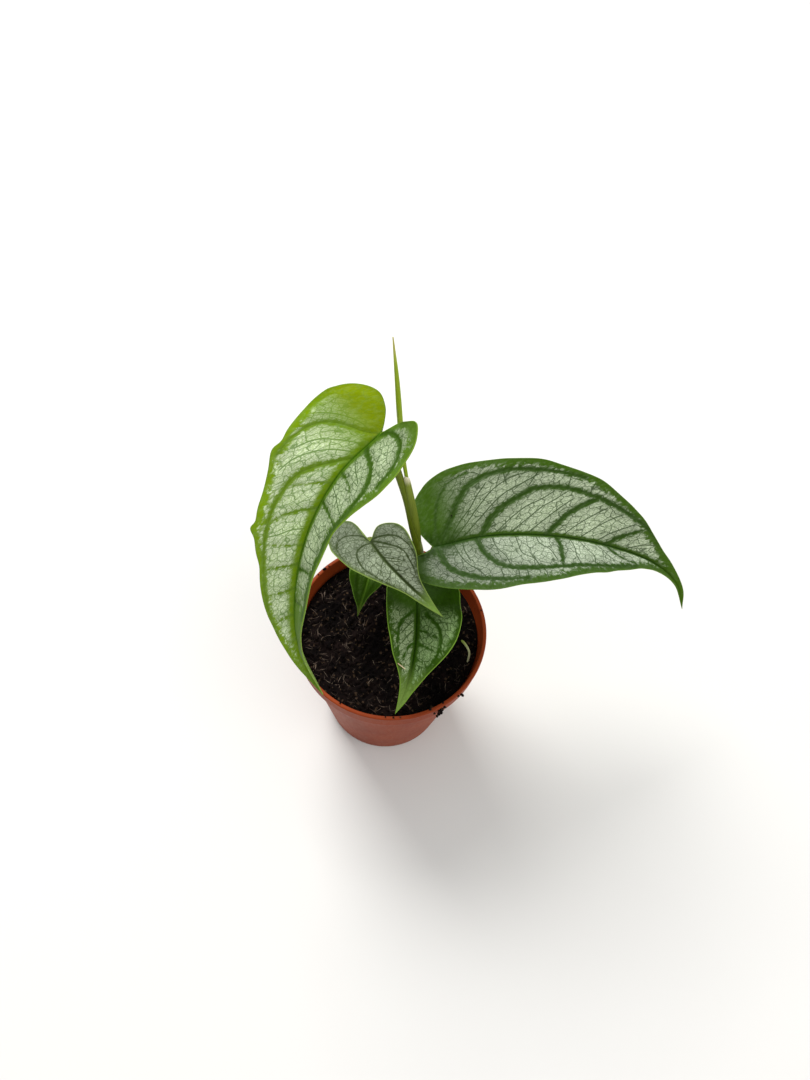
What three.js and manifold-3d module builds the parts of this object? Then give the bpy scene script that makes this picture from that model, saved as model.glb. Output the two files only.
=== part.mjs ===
// Potted Monstera siltepecana in a 6 cm nursery pot.
// Millimetres, +Z up. The origin is the centre of the pot's foot, on the ground.
// -Y is the front, where the front leaf hangs over the rim, and +X is the right.

import * as THREE from 'three';
import { mergeVertices } from 'three/addons/utils/BufferGeometryUtils.js';
import Module from 'manifold-3d';

// Driving dimensions: the pot

const POT_HEIGHT = 55;
const RIM_RADIUS = 30;
const COLLAR_RADIUS = 29.4;
const COLLAR_HEIGHT = 6.5;
const NECK_RADIUS = 27.9;
const FOOT_RADIUS = 20;
const POT_WALL = 1.2;
const FLOOR_TOP = 2.2;
const FOOT_RING_WIDTH = 2;
const FOOT_RECESS = 0.9;
const CENTRE_PAD_RADIUS = 6.5;
const DRAIN_HOLES = 6;
const DRAIN_HOLE_RADIUS = 2.2;
const DRAIN_CIRCLE_RADIUS = 12.2;
const POT_SEGMENTS = 60;

// Driving dimensions: the soil

const SOIL_LEVEL = 50.2;
const SOIL_GAP = 0.4;
const SOIL_LUMP = 0.75;
const SOIL_RINGS = 13;
const SOIL_SEGMENTS = 48;

// Driving dimensions: the stem and its roots, [x, y, z, radius]

const SEAT_GAP = 0.26;
const STEM = [
  [9.4, 13.8, 37, 1.9], [9.1, 14.1, 44, 2.2], [8.8, 14.5, 51, 2.3],
  [8.2, 15.2, 57, 2.1], [7.9, 15.8, 62, 1.7],
];
const STEM_RINGS = [51.8, 54.4, 57.2, 60];
const STEM_RING_HEIGHT = 0.3;
const ROOTS = 7;
const ROOT_TOP = 39;
const ROOT_REACH = 13;
const ROOT_DEPTH = 28;
const ROOT_RADIUS = 0.75;

// Driving dimensions: the blades.
// midrib: points along the middle rib, from the leaf stalk to the tip.
// faces: where the upper face looks, at the base and at the tip.
// halves: the left and the right half, seen from the base with the face up.
// margin: [share of the midrib's length, mm from the midrib], from lobe to tip.
// fold: degrees that the half is folded up from the midrib, at base and tip.
// wave: mm that the margin rises and falls, in so many waves along the leaf.

const BLADE_THICKNESS = 0.66;
const MIDRIB_RIDGE = 0.45;
const MIDRIB_RIDGE_WIDTH = 1.1;
const VEIN_SLANT = 0.55;

const LEFT_LEAF = {
  midrib: [
    [-6.5, 12, 136.9], [-15.8, 4.8, 128.2], [-22.2, -3.3, 116],
    [-25.2, -12.1, 101.2], [-24.3, -20.9, 83.7], [-17, -28.5, 66.1],
  ],
  faces: [[-0.41, -0.55, 0.73], [-0.6, -0.6, 0.45]],
  halves: [
    {
      margin: [
        [-0.03, 1.2], [-0.07, 3], [-0.1, 7], [-0.07, 11.8], [0, 15], [0.08, 16.8], [0.15, 15.8],
        [0.2, 14.5], [0.3, 12.5], [0.4, 12.3], [0.5, 11.8], [0.6, 10.2], [0.7, 8], [0.8, 5.4],
        [0.9, 2.8],
      ],
      fold: [33, 38],
    },
    {
      margin: [
        [-0.03, 1.4], [-0.06, 3.8], [-0.075, 7.6], [-0.05, 12], [0, 15.3], [0.08, 17.2], [0.16, 16.8],
        [0.2, 15.9], [0.26, 16.5], [0.31, 15], [0.38, 14.3], [0.43, 14.5], [0.47, 12.6], [0.53, 10.3],
        [0.61, 9.5], [0.7, 7.5], [0.76, 5.6], [0.8, 4.4], [0.9, 2.5],
      ],
      fold: [18, 24],
    },
  ],
  wave: 0.7,
  waves: 5,
  stalk: [
    [7.9, 15.8, 60, 1.65], [6.1, 16.2, 77, 1.4], [3.8, 16.3, 88, 1.15], [1.15, 16.3, 102.5, 1.05],
    [-1.7, 15.6, 115.6, 1.05], [-4.8, 15.1, 129, 1],
  ],
  fan: 10,
  rows: 36,
};

const RIGHT_LEAF = {
  midrib: [
    [10.3, 15.5, 80], [26, 19.7, 82.4], [42.7, 21.9, 82.4],
    [59.9, 22.5, 79.8], [77.6, 20.8, 74.6], [85.8, 16.6, 70.2], [88.7, 11.2, 65],
  ],
  faces: [[0, -0.05, 1], [0, -0.08, 1]],
  halves: [
    {
      margin: [
        [-0.02, 2.6], [-0.04, 6.5], [-0.05, 11.6], [-0.03, 15.4], [0.02, 19.4], [0.1, 22.3],
        [0.2, 23.6], [0.3, 22.9], [0.4, 23], [0.5, 20.4], [0.6, 16.7], [0.7, 11.7],
        [0.79, 5.2], [0.84, 3.2], [0.9, 1.6], [0.95, 1],
      ],
      fold: [12, 30],
    },
    {
      margin: [
        [-0.02, 1.4], [-0.055, 2], [-0.085, 2.8], [-0.1, 5.2], [-0.08, 9.5], [0, 14.4],
        [0.1, 18], [0.2, 20], [0.3, 19.5], [0.4, 17.7], [0.5, 15.2], [0.6, 11.9],
        [0.68, 8.6], [0.74, 5.8], [0.8, 3.4], [0.86, 1.9], [0.93, 1],
      ],
      fold: [8, 36],
    },
  ],
  wave: 0.6,
  waves: 4,
  stalk: [
    [8.1, 15.3, 56.6, 0.95], [10.7, 16.4, 60.4, 0.9], [11.6, 17.1, 66.5, 0.85],
    [11.3, 17.3, 72.5, 0.85], [10.5, 16.6, 77, 0.85],
  ],
  fan: 10,
  rows: 36,
};

const SILVER_LEAF = {
  midrib: [
    [-8.3, 13.1, 84], [-2.9, 5.3, 86.3], [2.8, 0.9, 84.2], [8.8, -1.9, 79.9], [15, -4.4, 74.5],
  ],
  faces: [[-0.45, 0.15, 1], [0, -0.2, 1]],
  halves: [
    {
      margin: [
        [-0.01, 1], [-0.045, 2.7], [-0.063, 4.7], [-0.03, 7], [0.04, 8.9], [0.12, 9.9], [0.2, 10.2],
        [0.3, 9.6], [0.4, 8], [0.5, 5.7], [0.6, 3.5], [0.7, 2.2], [0.85, 0.9],
      ],
      fold: [14, 18],
    },
    {
      margin: [
        [-0.1, 0.4], [-0.22, 0.3], [-0.31, 1.5], [-0.35, 5.6], [-0.3, 9], [-0.15, 10.9], [0, 11.1],
        [0.1, 10.6], [0.2, 9.6], [0.3, 7.8], [0.4, 5.8], [0.5, 4], [0.6, 2.8], [0.75, 1.8],
        [0.88, 0.9],
      ],
      fold: [14, 16],
    },
  ],
  wave: 0.3,
  waves: 3,
  stalk: [
    [7.9, 15.2, 55.6, 0.85], [4.4, 16.6, 60.6, 0.75], [0, 17.4, 69.5, 0.7], [-5.2, 16.6, 78, 0.7],
    [-8.8, 14.8, 82, 0.7],
  ],
  fan: 8,
  rows: 24,
};

const FRONT_LEAF = {
  midrib: [
    [6.7, 10, 67], [7.5, -2.3, 68.8], [7.8, -12.8, 67.8], [6.7, -21.6, 63.8], [3.9, -29.1, 58],
  ],
  faces: [[0.15, -0.1, 1], [0.2, -0.1, 1]],
  halves: [
    {
      margin: [
        [-0.05, 1.8], [-0.09, 3.6], [-0.08, 6.4], [0, 10.5], [0.1, 12.7], [0.2, 13.3],
        [0.3, 13.3], [0.4, 12.8], [0.5, 11], [0.6, 7.6], [0.7, 4.5], [0.8, 2.4], [0.9, 1.3],
      ],
      fold: [20, 27],
    },
    {
      margin: [
        [-0.04, 1.6], [-0.07, 3.2], [-0.06, 6], [0, 8.6], [0.1, 9.9], [0.2, 10.1],
        [0.3, 10.1], [0.4, 9.4], [0.5, 8.2], [0.6, 6.5], [0.7, 4.1], [0.8, 2.2], [0.9, 0.9],
      ],
      fold: [13, 20],
    },
  ],
  wave: 0.35,
  waves: 4,
  stalk: [
    [8.4, 14.9, 54.6, 0.85], [7.7, 12.8, 59, 0.75], [6.9, 11.9, 63.4, 0.7],
  ],
  fan: 8,
  rows: 24,
};

const SMALL_LEAF = {
  midrib: [[-8.1, 17.4, 64], [-8.3, 10, 65.4], [-9.4, 4.9, 62.9], [-10.5, 1.4, 57.5]],
  faces: [[0, 0.1, 1], [0.1, -0.1, 1]],
  halves: [
    {
      margin: [
        [-0.06, 1.2], [-0.09, 2.8], [0, 4.6], [0.15, 6], [0.3, 5.8], [0.45, 3.9],
        [0.6, 1.9], [0.8, 0.7],
      ],
      fold: [12, 22],
    },
    {
      margin: [
        [-0.06, 1.2], [-0.09, 2.8], [0, 4.4], [0.15, 5.6], [0.3, 6.1], [0.45, 5.6],
        [0.6, 3.8], [0.8, 1.1],
      ],
      fold: [12, 20],
    },
  ],
  wave: 0.2,
  waves: 3,
  stalk: [
    [8.6, 14.7, 53.4, 0.75], [4, 17.4, 57, 0.65], [-2, 19.4, 60.5, 0.6], [-6.4, 19.6, 62.4, 0.6],
  ],
  fan: 6,
  rows: 18,
};

// Driving dimensions: the sheath on the left leaf's stalk and the rolled new leaf, [x, y, z, radius]

const SHEATH = [
  [6.5, 16.2, 78, 0.5], [4.9, 16.2, 88, 1], [2.9, 16.15, 99.5, 1.2], [0.85, 15.95, 112, 1.18],
];
const SOCKET_CLEARANCE = 0.28;
const NEW_LEAF = [
  [2.9, 16.15, 99.5, 0.45], [0.85, 15.95, 112, 0.5], [-0.85, 15.7, 124, 0.55],
  [-2.25, 15, 139, 0.72], [-3.5, 13.4, 155, 0.55], [-4.9, 11.6, 170.4, 0.14],
];
const ROLL_STEP = 0.2;
const ROLL_STARTS_AT = 118;

// Driving dimensions: the seedling at the right of the soil, [x, y, z, radius]

const SEEDLING = [
  [24.9, -6.6, 48, 0.32], [25, -6.4, 50.6, 0.32], [25.1, -4.6, 52.3, 0.34],
  [23.8, -2.4, 52.9, 0.4], [22.3, -1, 53.1, 0.42],
];

// Solids

const wasm = await Module();
wasm.setup();

/** A closed BufferGeometry as a manifold solid. */
function solidOf(geometry) {
  const bare = geometry.clone();
  bare.deleteAttribute('normal');
  bare.deleteAttribute('uv');
  const merged = mergeVertices(bare, 1e-4);
  return new wasm.Manifold(new wasm.Mesh({
    numProp: 3,
    vertProperties: new Float32Array(merged.attributes.position.array),
    triVerts: new Uint32Array(merged.index.array),
  }));
}

/** A manifold solid as a BufferGeometry with flat normals. */
function geometryOf(solid) {
  const mesh = solid.getMesh();
  const geometry = new THREE.BufferGeometry();
  geometry.setAttribute('position', new THREE.BufferAttribute(new Float32Array(mesh.vertProperties), 3));
  geometry.setIndex(new THREE.BufferAttribute(new Uint32Array(mesh.triVerts), 1));
  geometry.computeVertexNormals();
  return geometry;
}

/** An indexed BufferGeometry from lists of THREE.Vector3 and of triangles. */
function indexed(points, triangles) {
  const values = points.flatMap((point) => [point.x, point.y, point.z]);
  const geometry = new THREE.BufferGeometry();
  geometry.setAttribute('position', new THREE.Float32BufferAttribute(values, 3));
  geometry.setIndex(triangles.flat());
  return geometry;
}

/** A smooth bump of height 1 and the given half width, round zero. */
function bump(distance, halfWidth) {
  return Math.exp(-((distance / halfWidth) ** 2));
}

/** The value at share u of a list, evenly spaced and joined by straight lines. */
function along(values, u) {
  const at = THREE.MathUtils.clamp(u, 0, 1) * (values.length - 1);
  const i = Math.min(Math.floor(at), values.length - 2);
  return THREE.MathUtils.lerp(values[i], values[i + 1], at - i);
}

/**
 * A closed tube through nodes [x, y, z, radius], with flat ends.
 * extra is added to every radius and to both ends.
 * section gives the radius factor at an angle and a point.
 */
function tube(nodes, { sides = 8, steps = 3, extra = 0, section = () => 1 } = {}) {
  const curve = new THREE.CatmullRomCurve3(nodes.map(([x, y, z]) => new THREE.Vector3(x, y, z)));
  const radii = nodes.map((node) => node[3]);
  const rings = steps * (nodes.length - 1);
  const centres = Array.from({ length: rings + 1 }, (_, i) => curve.getPoint(i / rings));
  const tangents = centres.map((_, i) => curve.getTangent(i / rings));
  if (extra > 0) {
    centres[0].addScaledVector(tangents[0], -extra);
    centres[rings].addScaledVector(tangents[rings], extra);
  }
  const points = [];
  let across = new THREE.Vector3(0, 0, 1).cross(tangents[0]);
  if (across.length() < 0.1) {
    across.set(1, 0, 0);
  }
  centres.forEach((centre, i) => {
    across.addScaledVector(tangents[i], -across.dot(tangents[i])).normalize();
    const up = new THREE.Vector3().crossVectors(tangents[i], across);
    for (let k = 0; k < sides; k += 1) {
      const angle = (2 * Math.PI * k) / sides;
      const radius = (along(radii, i / rings) * section(angle, centre)) + extra;
      points.push(centre.clone()
        .addScaledVector(across, radius * Math.cos(angle))
        .addScaledVector(up, radius * Math.sin(angle)));
    }
  });
  const triangles = [];
  for (let i = 0; i < rings; i += 1) {
    for (let k = 0; k < sides; k += 1) {
      const a = (i * sides) + k;
      const b = (i * sides) + ((k + 1) % sides);
      triangles.push([a, b, b + sides], [a, b + sides, a + sides]);
    }
  }
  const start = points.push(centres[0].clone()) - 1;
  const end = points.push(centres[rings].clone()) - 1;
  for (let k = 0; k < sides; k += 1) {
    const next = (k + 1) % sides;
    triangles.push([start, next, k]);
    triangles.push([end, (rings * sides) + k, (rings * sides) + next]);
  }
  return solidOf(indexed(points, triangles));
}

// The pot

/** The thin wall, the collar, the lip and the foot, turned round the axis, with the drain holes cut. */
function makePot() {
  const recess = FOOT_RECESS;
  const ringInside = FOOT_RADIUS - FOOT_RING_WIDTH;
  const shoulder = POT_HEIGHT - COLLAR_HEIGHT;
  const profile = [
    [0, 0], [CENTRE_PAD_RADIUS, 0], [CENTRE_PAD_RADIUS + 0.5, recess], [ringInside - 0.5, recess],
    [ringInside, 0], [FOOT_RADIUS - 0.5, 0], [FOOT_RADIUS, 0.5],
    [NECK_RADIUS, shoulder], [COLLAR_RADIUS - 0.2, shoulder], [COLLAR_RADIUS, shoulder + 0.3],
    [RIM_RADIUS - 0.15, POT_HEIGHT - 1.2], [RIM_RADIUS, POT_HEIGHT - 0.7], [RIM_RADIUS, POT_HEIGHT - 0.25],
    [RIM_RADIUS - 0.25, POT_HEIGHT], [RIM_RADIUS - POT_WALL + 0.2, POT_HEIGHT],
    [RIM_RADIUS - POT_WALL, POT_HEIGHT - 0.2], [COLLAR_RADIUS - POT_WALL, shoulder + 1],
    [NECK_RADIUS - POT_WALL, shoulder - 0.3], [FOOT_RADIUS - POT_WALL + 0.7, FLOOR_TOP + 1],
    [FOOT_RADIUS - POT_WALL - 0.6, FLOOR_TOP], [0, FLOOR_TOP],
  ];
  const points = profile.map(([r, z]) => new THREE.Vector2(r, z));
  const turned = new THREE.LatheGeometry(points, POT_SEGMENTS).rotateX(Math.PI / 2);
  let pot = solidOf(turned);
  for (let i = 0; i < DRAIN_HOLES; i += 1) {
    const angle = (2 * Math.PI * (i + 0.5)) / DRAIN_HOLES;
    const drill = new THREE.CylinderGeometry(DRAIN_HOLE_RADIUS, DRAIN_HOLE_RADIUS, 3 * FLOOR_TOP, 16)
      .rotateX(Math.PI / 2)
      .translate(DRAIN_CIRCLE_RADIUS * Math.cos(angle), DRAIN_CIRCLE_RADIUS * Math.sin(angle), FLOOR_TOP);
    pot = pot.subtract(solidOf(drill));
  }
  return pot;
}

// The soil

/** Height of the soil's surface over a point: crumbs of a few sizes, and a low heap at the stem. */
function soilHeight(x, y) {
  const crumbs = (Math.sin((1.9 * x) + (0.8 * Math.sin(1.3 * y))) * Math.sin((1.7 * y) - (0.6 * x)))
    + (0.6 * Math.sin((0.7 * x) + (0.9 * y) + 1.1)) + (0.5 * Math.sin((0.8 * x) - (0.6 * y) + 2.3));
  const heap = 0.8 * bump(Math.hypot(x - STEM[2][0], y - STEM[2][1]), 7);
  const edge = THREE.MathUtils.smoothstep(RIM_RADIUS - Math.hypot(x, y), 2, 5.5);
  return SOIL_LEVEL + (SOIL_LUMP * 0.6 * crumbs * edge) + heap - (0.3 * (1 - edge));
}

/** The filling of the pot, with the lumpy top, clear of the wall all round. */
function makeSoil(cuts) {
  const shoulder = POT_HEIGHT - COLLAR_HEIGHT;
  const wall = POT_WALL + SOIL_GAP;
  const top = COLLAR_RADIUS - wall - 0.1;
  const neck = NECK_RADIUS - wall;
  const side = [
    [FOOT_RADIUS - wall - 0.8, FLOOR_TOP + SOIL_GAP], [FOOT_RADIUS - wall + 0.7, FLOOR_TOP + SOIL_GAP + 0.9],
    [neck - 0.1, shoulder - 1.4], [neck, shoulder + 0.2], [top, SOIL_LEVEL],
  ];
  const points = [new THREE.Vector3(0, 0, FLOOR_TOP + SOIL_GAP)];
  const ring = (radius, height) => {
    for (let k = 0; k < SOIL_SEGMENTS; k += 1) {
      const angle = (2 * Math.PI * k) / SOIL_SEGMENTS;
      const x = radius * Math.cos(angle);
      const y = radius * Math.sin(angle);
      points.push(new THREE.Vector3(x, y, height === undefined ? soilHeight(x, y) : height));
    }
  };
  side.slice(0, -1).forEach(([radius, height]) => ring(radius, height));
  for (let i = 0; i < SOIL_RINGS; i += 1) {
    ring(top * (1 - (i / SOIL_RINGS)), undefined);
  }
  const rings = side.length - 1 + SOIL_RINGS;
  const last = points.push(new THREE.Vector3(0, 0, soilHeight(0, 0))) - 1;
  const triangles = [];
  for (let k = 0; k < SOIL_SEGMENTS; k += 1) {
    const next = (k + 1) % SOIL_SEGMENTS;
    triangles.push([0, 1 + next, 1 + k]);
    for (let i = 0; i < rings - 1; i += 1) {
      const low = 1 + (i * SOIL_SEGMENTS);
      const high = low + SOIL_SEGMENTS;
      triangles.push([low + k, low + next, high + next], [low + k, high + next, high + k]);
    }
    const inner = 1 + ((rings - 1) * SOIL_SEGMENTS);
    triangles.push([inner + k, inner + next, last]);
  }
  return cuts.reduce((soil, cut) => soil.subtract(cut), solidOf(indexed(points, triangles)));
}

// The stem

/** The stem with its leaf rings and the roots under it; extra makes it fatter, for the holes round it. */
function makeStem(extra = 0) {
  const rings = (angle, centre) => 1 + STEM_RINGS
    .reduce((sum, height) => sum + (STEM_RING_HEIGHT * 0.5 * bump(centre.z - height, 0.8)), 0);
  let stem = tube(STEM, { sides: 10, steps: 5, extra, section: rings });
  for (let i = 0; i < ROOTS; i += 1) {
    const angle = (2 * Math.PI * i) / ROOTS;
    const reach = ROOT_REACH * (0.65 + (0.35 * Math.sin(2.7 * i)));
    const depth = ROOT_DEPTH * (0.8 + (0.2 * Math.cos(3.9 * i)));
    const [x, y] = STEM[0];
    const at = (share, sunk, radius) => [
      (x * (1 - (0.4 * share))) + (reach * share * Math.cos(angle)),
      (y * (1 - (0.6 * share))) + (reach * share * Math.sin(angle)),
      ROOT_TOP - (depth * sunk),
      radius,
    ];
    const root = [at(0.02, 0, ROOT_RADIUS), at(0.45, 0.25, ROOT_RADIUS), at(0.8, 0.6, 0.6), at(1, 1, 0.4)];
    stem = stem.add(tube(root, { sides: 5, steps: 2, extra }));
  }
  return stem;
}

// The leaves

/** The leaf's flat plan laid along its midrib in space. */
class Blade {
  constructor(leaf) {
    this.leaf = leaf;
    this.curve = new THREE.CatmullRomCurve3(leaf.midrib.map(([x, y, z]) => new THREE.Vector3(x, y, z)));
    this.curve.arcLengthDivisions = 400;
    this.length = this.curve.getLength();
    this.faces = leaf.faces.map(([x, y, z]) => new THREE.Vector3(x, y, z).normalize());
    this.margins = leaf.halves.map((half) => this.marginOf(half));
  }

  /** The half's margin as a curve of (mm along, mm from the midrib), from the notch to the tip. */
  marginOf(half) {
    const points = half.margin.map(([share, width]) => new THREE.Vector3(share * this.length, width, 0));
    return new THREE.CatmullRomCurve3([
      new THREE.Vector3(0, 0, 0), ...points, new THREE.Vector3(this.length, 0, 0),
    ]);
  }

  /** Midrib point, direction, face and left side at a distance from the base; straight behind the base. */
  frame(distance) {
    const share = THREE.MathUtils.clamp(distance / this.length, 0, 1);
    const centre = this.curve.getPointAt(share);
    const ahead = this.curve.getTangentAt(share);
    const face = this.faces[0].clone().lerp(this.faces[1], share);
    face.addScaledVector(ahead, -face.dot(ahead)).normalize();
    const left = new THREE.Vector3().crossVectors(face, ahead);
    centre.addScaledVector(ahead, Math.min(distance, 0));
    return { centre, ahead, face, left, share };
  }

  /** The space point of a flat point of half 0 (left) or 1 (right). */
  place(side, distance, width) {
    const { centre, face, left, share } = this.frame(distance);
    const half = this.leaf.halves[side];
    const fold = THREE.MathUtils.degToRad(THREE.MathUtils.lerp(half.fold[0], half.fold[1], share));
    const widest = 0.22 * this.length;
    const phase = (2 * Math.PI * this.leaf.waves * distance) / this.length;
    const wave = this.leaf.wave * Math.sin(phase + (1.3 * side)) * ((width / widest) ** 2);
    return centre
      .addScaledVector(left, (side === 0 ? 1 : -1) * width * Math.cos(fold))
      .addScaledVector(face, (width * Math.sin(fold)) + wave);
  }

  /**
   * Where on the midrib the vein that ends at share u of the margin would start.
   * It is below zero for the veins of the lobes, which all fan out of the base.
   */
  rootOf(side, u) {
    const end = this.margins[side].getPoint(u);
    return end.x - (VEIN_SLANT * end.y);
  }

  /** The share of the margin where the vein with this root ends, found by halving. */
  marginShare(side, root) {
    let [low, high] = [0.1, 1];
    for (let i = 0; i < 40; i += 1) {
      const middle = (low + high) / 2;
      [low, high] = this.rootOf(side, middle) < root ? [middle, high] : [low, middle];
    }
    return (low + high) / 2;
  }

  /** The flat point at share t, from midrib to margin, on the vein that ends at share u of the margin. */
  onVein(side, u, t) {
    const end = this.margins[side].getPoint(u);
    const root = THREE.MathUtils.clamp(end.x - (VEIN_SLANT * end.y), 0, this.length);
    const bendX = root + (0.3 * (end.x - root));
    const bendY = 0.62 * end.y;
    const a = (1 - t) ** 2;
    const b = 2 * t * (1 - t);
    const c = t * t;
    return [(a * root) + (b * bendX) + (c * end.x), (b * bendY) + (c * end.y)];
  }

  /** The blade as one solid: both faces in the same triangles, closed round the margin. */
  solid() {
    const across = [0, 0.08, 0.34, 0.67, 1];
    const edge = across.length - 1;
    const { fan, rows } = this.leaf;
    const points = [];
    const keys = new Map();
    const vertex = (side, i, j, under) => {
      const spine = j === 0 || i === 0 || i === rows;
      const key = spine ? [Math.max(0, i - fan), under].join() : [side, i, j, under].join();
      if (!keys.has(key)) {
        const root = (this.length * Math.max(0, i - fan)) / (rows - fan);
        const share = this.marginShare(side, root) * Math.min(1, i / fan);
        const [distance, width] = spine ? [root, 0] : this.onVein(side, share, across[j]);
        keys.set(key, points.push(this.offset(side, distance, width, under)) - 1);
      }
      return keys.get(key);
    };
    const triangles = [];
    const face = (corners, flip) => {
      if (new Set(corners).size === 3) {
        triangles.push(flip ? corners.toReversed() : corners);
      }
    };
    for (let side = 0; side < 2; side += 1) {
      for (let i = 0; i < rows; i += 1) {
        for (let j = 0; j < edge; j += 1) {
          for (let under = 0; under < 2; under += 1) {
            const corner = (di, dj) => vertex(side, i + di, j + dj, under);
            face([corner(0, 0), corner(1, 0), corner(1, 1)], side !== under);
            face([corner(0, 0), corner(1, 1), corner(0, 1)], side !== under);
          }
        }
        const top = [vertex(side, i, edge, 0), vertex(side, i + 1, edge, 0)];
        const low = [vertex(side, i, edge, 1), vertex(side, i + 1, edge, 1)];
        face([top[0], top[1], low[1]], side === 1);
        face([top[0], low[1], low[0]], side === 1);
      }
    }
    return solidOf(indexed(points, triangles));
  }

  /** A point of the upper (0) or lower (1) face, with the ridge of the midrib on the lower one. */
  offset(side, distance, width, under) {
    const step = 0.05;
    const point = this.place(side, distance, width);
    const forward = this.place(side, distance + step, width).sub(this.place(side, distance - step, width));
    const outward = this.place(side, distance, width + step).sub(point);
    const normal = new THREE.Vector3().crossVectors(forward, outward).normalize();
    if (side === 1) {
      normal.negate();
    }
    const spine = this.frame(distance).face;
    const blend = Math.min(1, width / 1.5);
    normal.lerp(spine, 1 - blend).normalize();
    const taper = 1 - THREE.MathUtils.clamp(distance / this.length, 0, 1);
    const ridge = MIDRIB_RIDGE * taper * bump(width, MIDRIB_RIDGE_WIDTH);
    return point.addScaledVector(normal, under === 0 ? BLADE_THICKNESS / 2 : -(BLADE_THICKNESS / 2) - ridge);
  }

  /** The leaf stalk, up to the base of the blade and a little way under the midrib. */
  stalk(extra = 0) {
    const { stalk } = this.leaf;
    const radius = stalk[stalk.length - 1][3];
    const under = (distance, depth, size) => {
      const { centre, face } = this.frame(distance);
      centre.addScaledVector(face, -depth);
      return [centre.x, centre.y, centre.z, size];
    };
    const end = [
      under(-0.5 * radius, radius + 0.15, radius), under(1.6 * radius, radius, 0.9 * radius),
      under(6 * radius, 0.75 * radius, 0.6 * radius),
    ];
    return tube([...stalk, ...end], { sides: 8, steps: 3, extra });
  }
}

/** A leaf in one piece, blade and stalk, seated on the stem. */
function makeLeaf(leaf, fatStem) {
  const blade = new Blade(leaf);
  return blade.solid().add(blade.stalk()).subtract(fatStem);
}

/** The left leaf has the sheath on its stalk, open at the top for the new leaf. */
function makeLeftLeaf(fatStem) {
  const blade = new Blade(LEFT_LEAF);
  const sheath = tube(SHEATH, { sides: 10, steps: 3 });
  const socket = tube(NEW_LEAF, { sides: 10, steps: 4, extra: SOCKET_CLEARANCE });
  return blade.solid().add(blade.stalk()).add(sheath).subtract(socket).subtract(fatStem);
}

/** The new leaf: a stalk, then a blade rolled on itself, with the step of its outer edge. */
function makeNewLeaf() {
  const rolled = (angle, centre) => {
    const open = THREE.MathUtils.smoothstep(centre.z, ROLL_STARTS_AT, ROLL_STARTS_AT + 8);
    return 1 + (ROLL_STEP * open * ((angle / (2 * Math.PI)) - 0.5));
  };
  return tube(NEW_LEAF, { sides: 10, steps: 4, section: rolled });
}

// The plant in its pot

const fatStem = makeStem(SEAT_GAP);
const fatSeedling = tube(SEEDLING, { sides: 8, steps: 3, extra: SEAT_GAP });
const pieces = {
  pot: { solid: makePot(), color: 0x9c4a33, roughness: 0.62 },
  soil: { solid: makeSoil([fatStem, fatSeedling]), color: 0x231913, roughness: 0.95 },
  stem: { solid: makeStem(), color: 0x7d8b3c, roughness: 0.55 },
  leaf_left: { solid: makeLeftLeaf(fatStem), color: 0x86b34c, roughness: 0.4 },
  leaf_right: { solid: makeLeaf(RIGHT_LEAF, fatStem), color: 0x6f9f72, roughness: 0.4 },
  leaf_silver: { solid: makeLeaf(SILVER_LEAF, fatStem), color: 0x8fa08b, roughness: 0.35 },
  leaf_front: { solid: makeLeaf(FRONT_LEAF, fatStem), color: 0x3f7a3d, roughness: 0.4 },
  leaf_small: { solid: makeLeaf(SMALL_LEAF, fatStem), color: 0x2f6a2c, roughness: 0.45 },
  new_leaf: { solid: makeNewLeaf(), color: 0x9bb23f, roughness: 0.45 },
  seedling: { solid: tube(SEEDLING, { sides: 8, steps: 3 }), color: 0xc9cda0, roughness: 0.6 },
};

const plant = new THREE.Group();
Object.entries(pieces).forEach(([name, { solid, color, roughness }]) => {
  const material = new THREE.MeshStandardMaterial({ color, roughness, metalness: 0 });
  const mesh = new THREE.Mesh(geometryOf(solid), material);
  mesh.name = name;
  plant.add(mesh);
});

export default plant;
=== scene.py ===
"""Young Monstera siltepecana in a small moulded nursery pot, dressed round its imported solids.

Sizes in the classes are millimetres, as in the solids' own source. A mesh turns to metres as it is built.
+Z is up, the front leaf hangs over the rim at -Y and the right leaf reaches out to +X.
"""

import logging
import math
from dataclasses import dataclass
from enum import IntEnum

import bpy
import numpy as np
from mathutils import Matrix, Vector


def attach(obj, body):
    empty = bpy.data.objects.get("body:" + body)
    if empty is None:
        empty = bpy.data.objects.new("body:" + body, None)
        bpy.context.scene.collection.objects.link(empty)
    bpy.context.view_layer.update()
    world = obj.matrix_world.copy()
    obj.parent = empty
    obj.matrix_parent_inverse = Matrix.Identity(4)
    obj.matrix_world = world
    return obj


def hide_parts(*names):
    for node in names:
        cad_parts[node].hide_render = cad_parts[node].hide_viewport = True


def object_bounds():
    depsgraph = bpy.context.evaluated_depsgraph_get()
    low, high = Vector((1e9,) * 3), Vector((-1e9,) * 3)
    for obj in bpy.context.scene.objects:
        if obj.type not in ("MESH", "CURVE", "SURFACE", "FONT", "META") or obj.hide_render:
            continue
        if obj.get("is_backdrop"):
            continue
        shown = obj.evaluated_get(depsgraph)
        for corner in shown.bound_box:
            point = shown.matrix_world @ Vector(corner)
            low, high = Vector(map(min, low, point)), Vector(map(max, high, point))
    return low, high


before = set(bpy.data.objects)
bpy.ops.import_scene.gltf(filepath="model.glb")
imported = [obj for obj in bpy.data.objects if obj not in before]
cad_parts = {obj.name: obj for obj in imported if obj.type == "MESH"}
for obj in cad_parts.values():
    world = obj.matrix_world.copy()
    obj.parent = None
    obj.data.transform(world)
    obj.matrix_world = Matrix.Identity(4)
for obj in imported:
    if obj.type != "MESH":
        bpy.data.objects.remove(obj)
CAD_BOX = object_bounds()

LOG = logging.getLogger("plant")
MM = 0.001

# Points that agree to this many decimals of a metre are welded
WELD_DIGITS = 7

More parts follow.
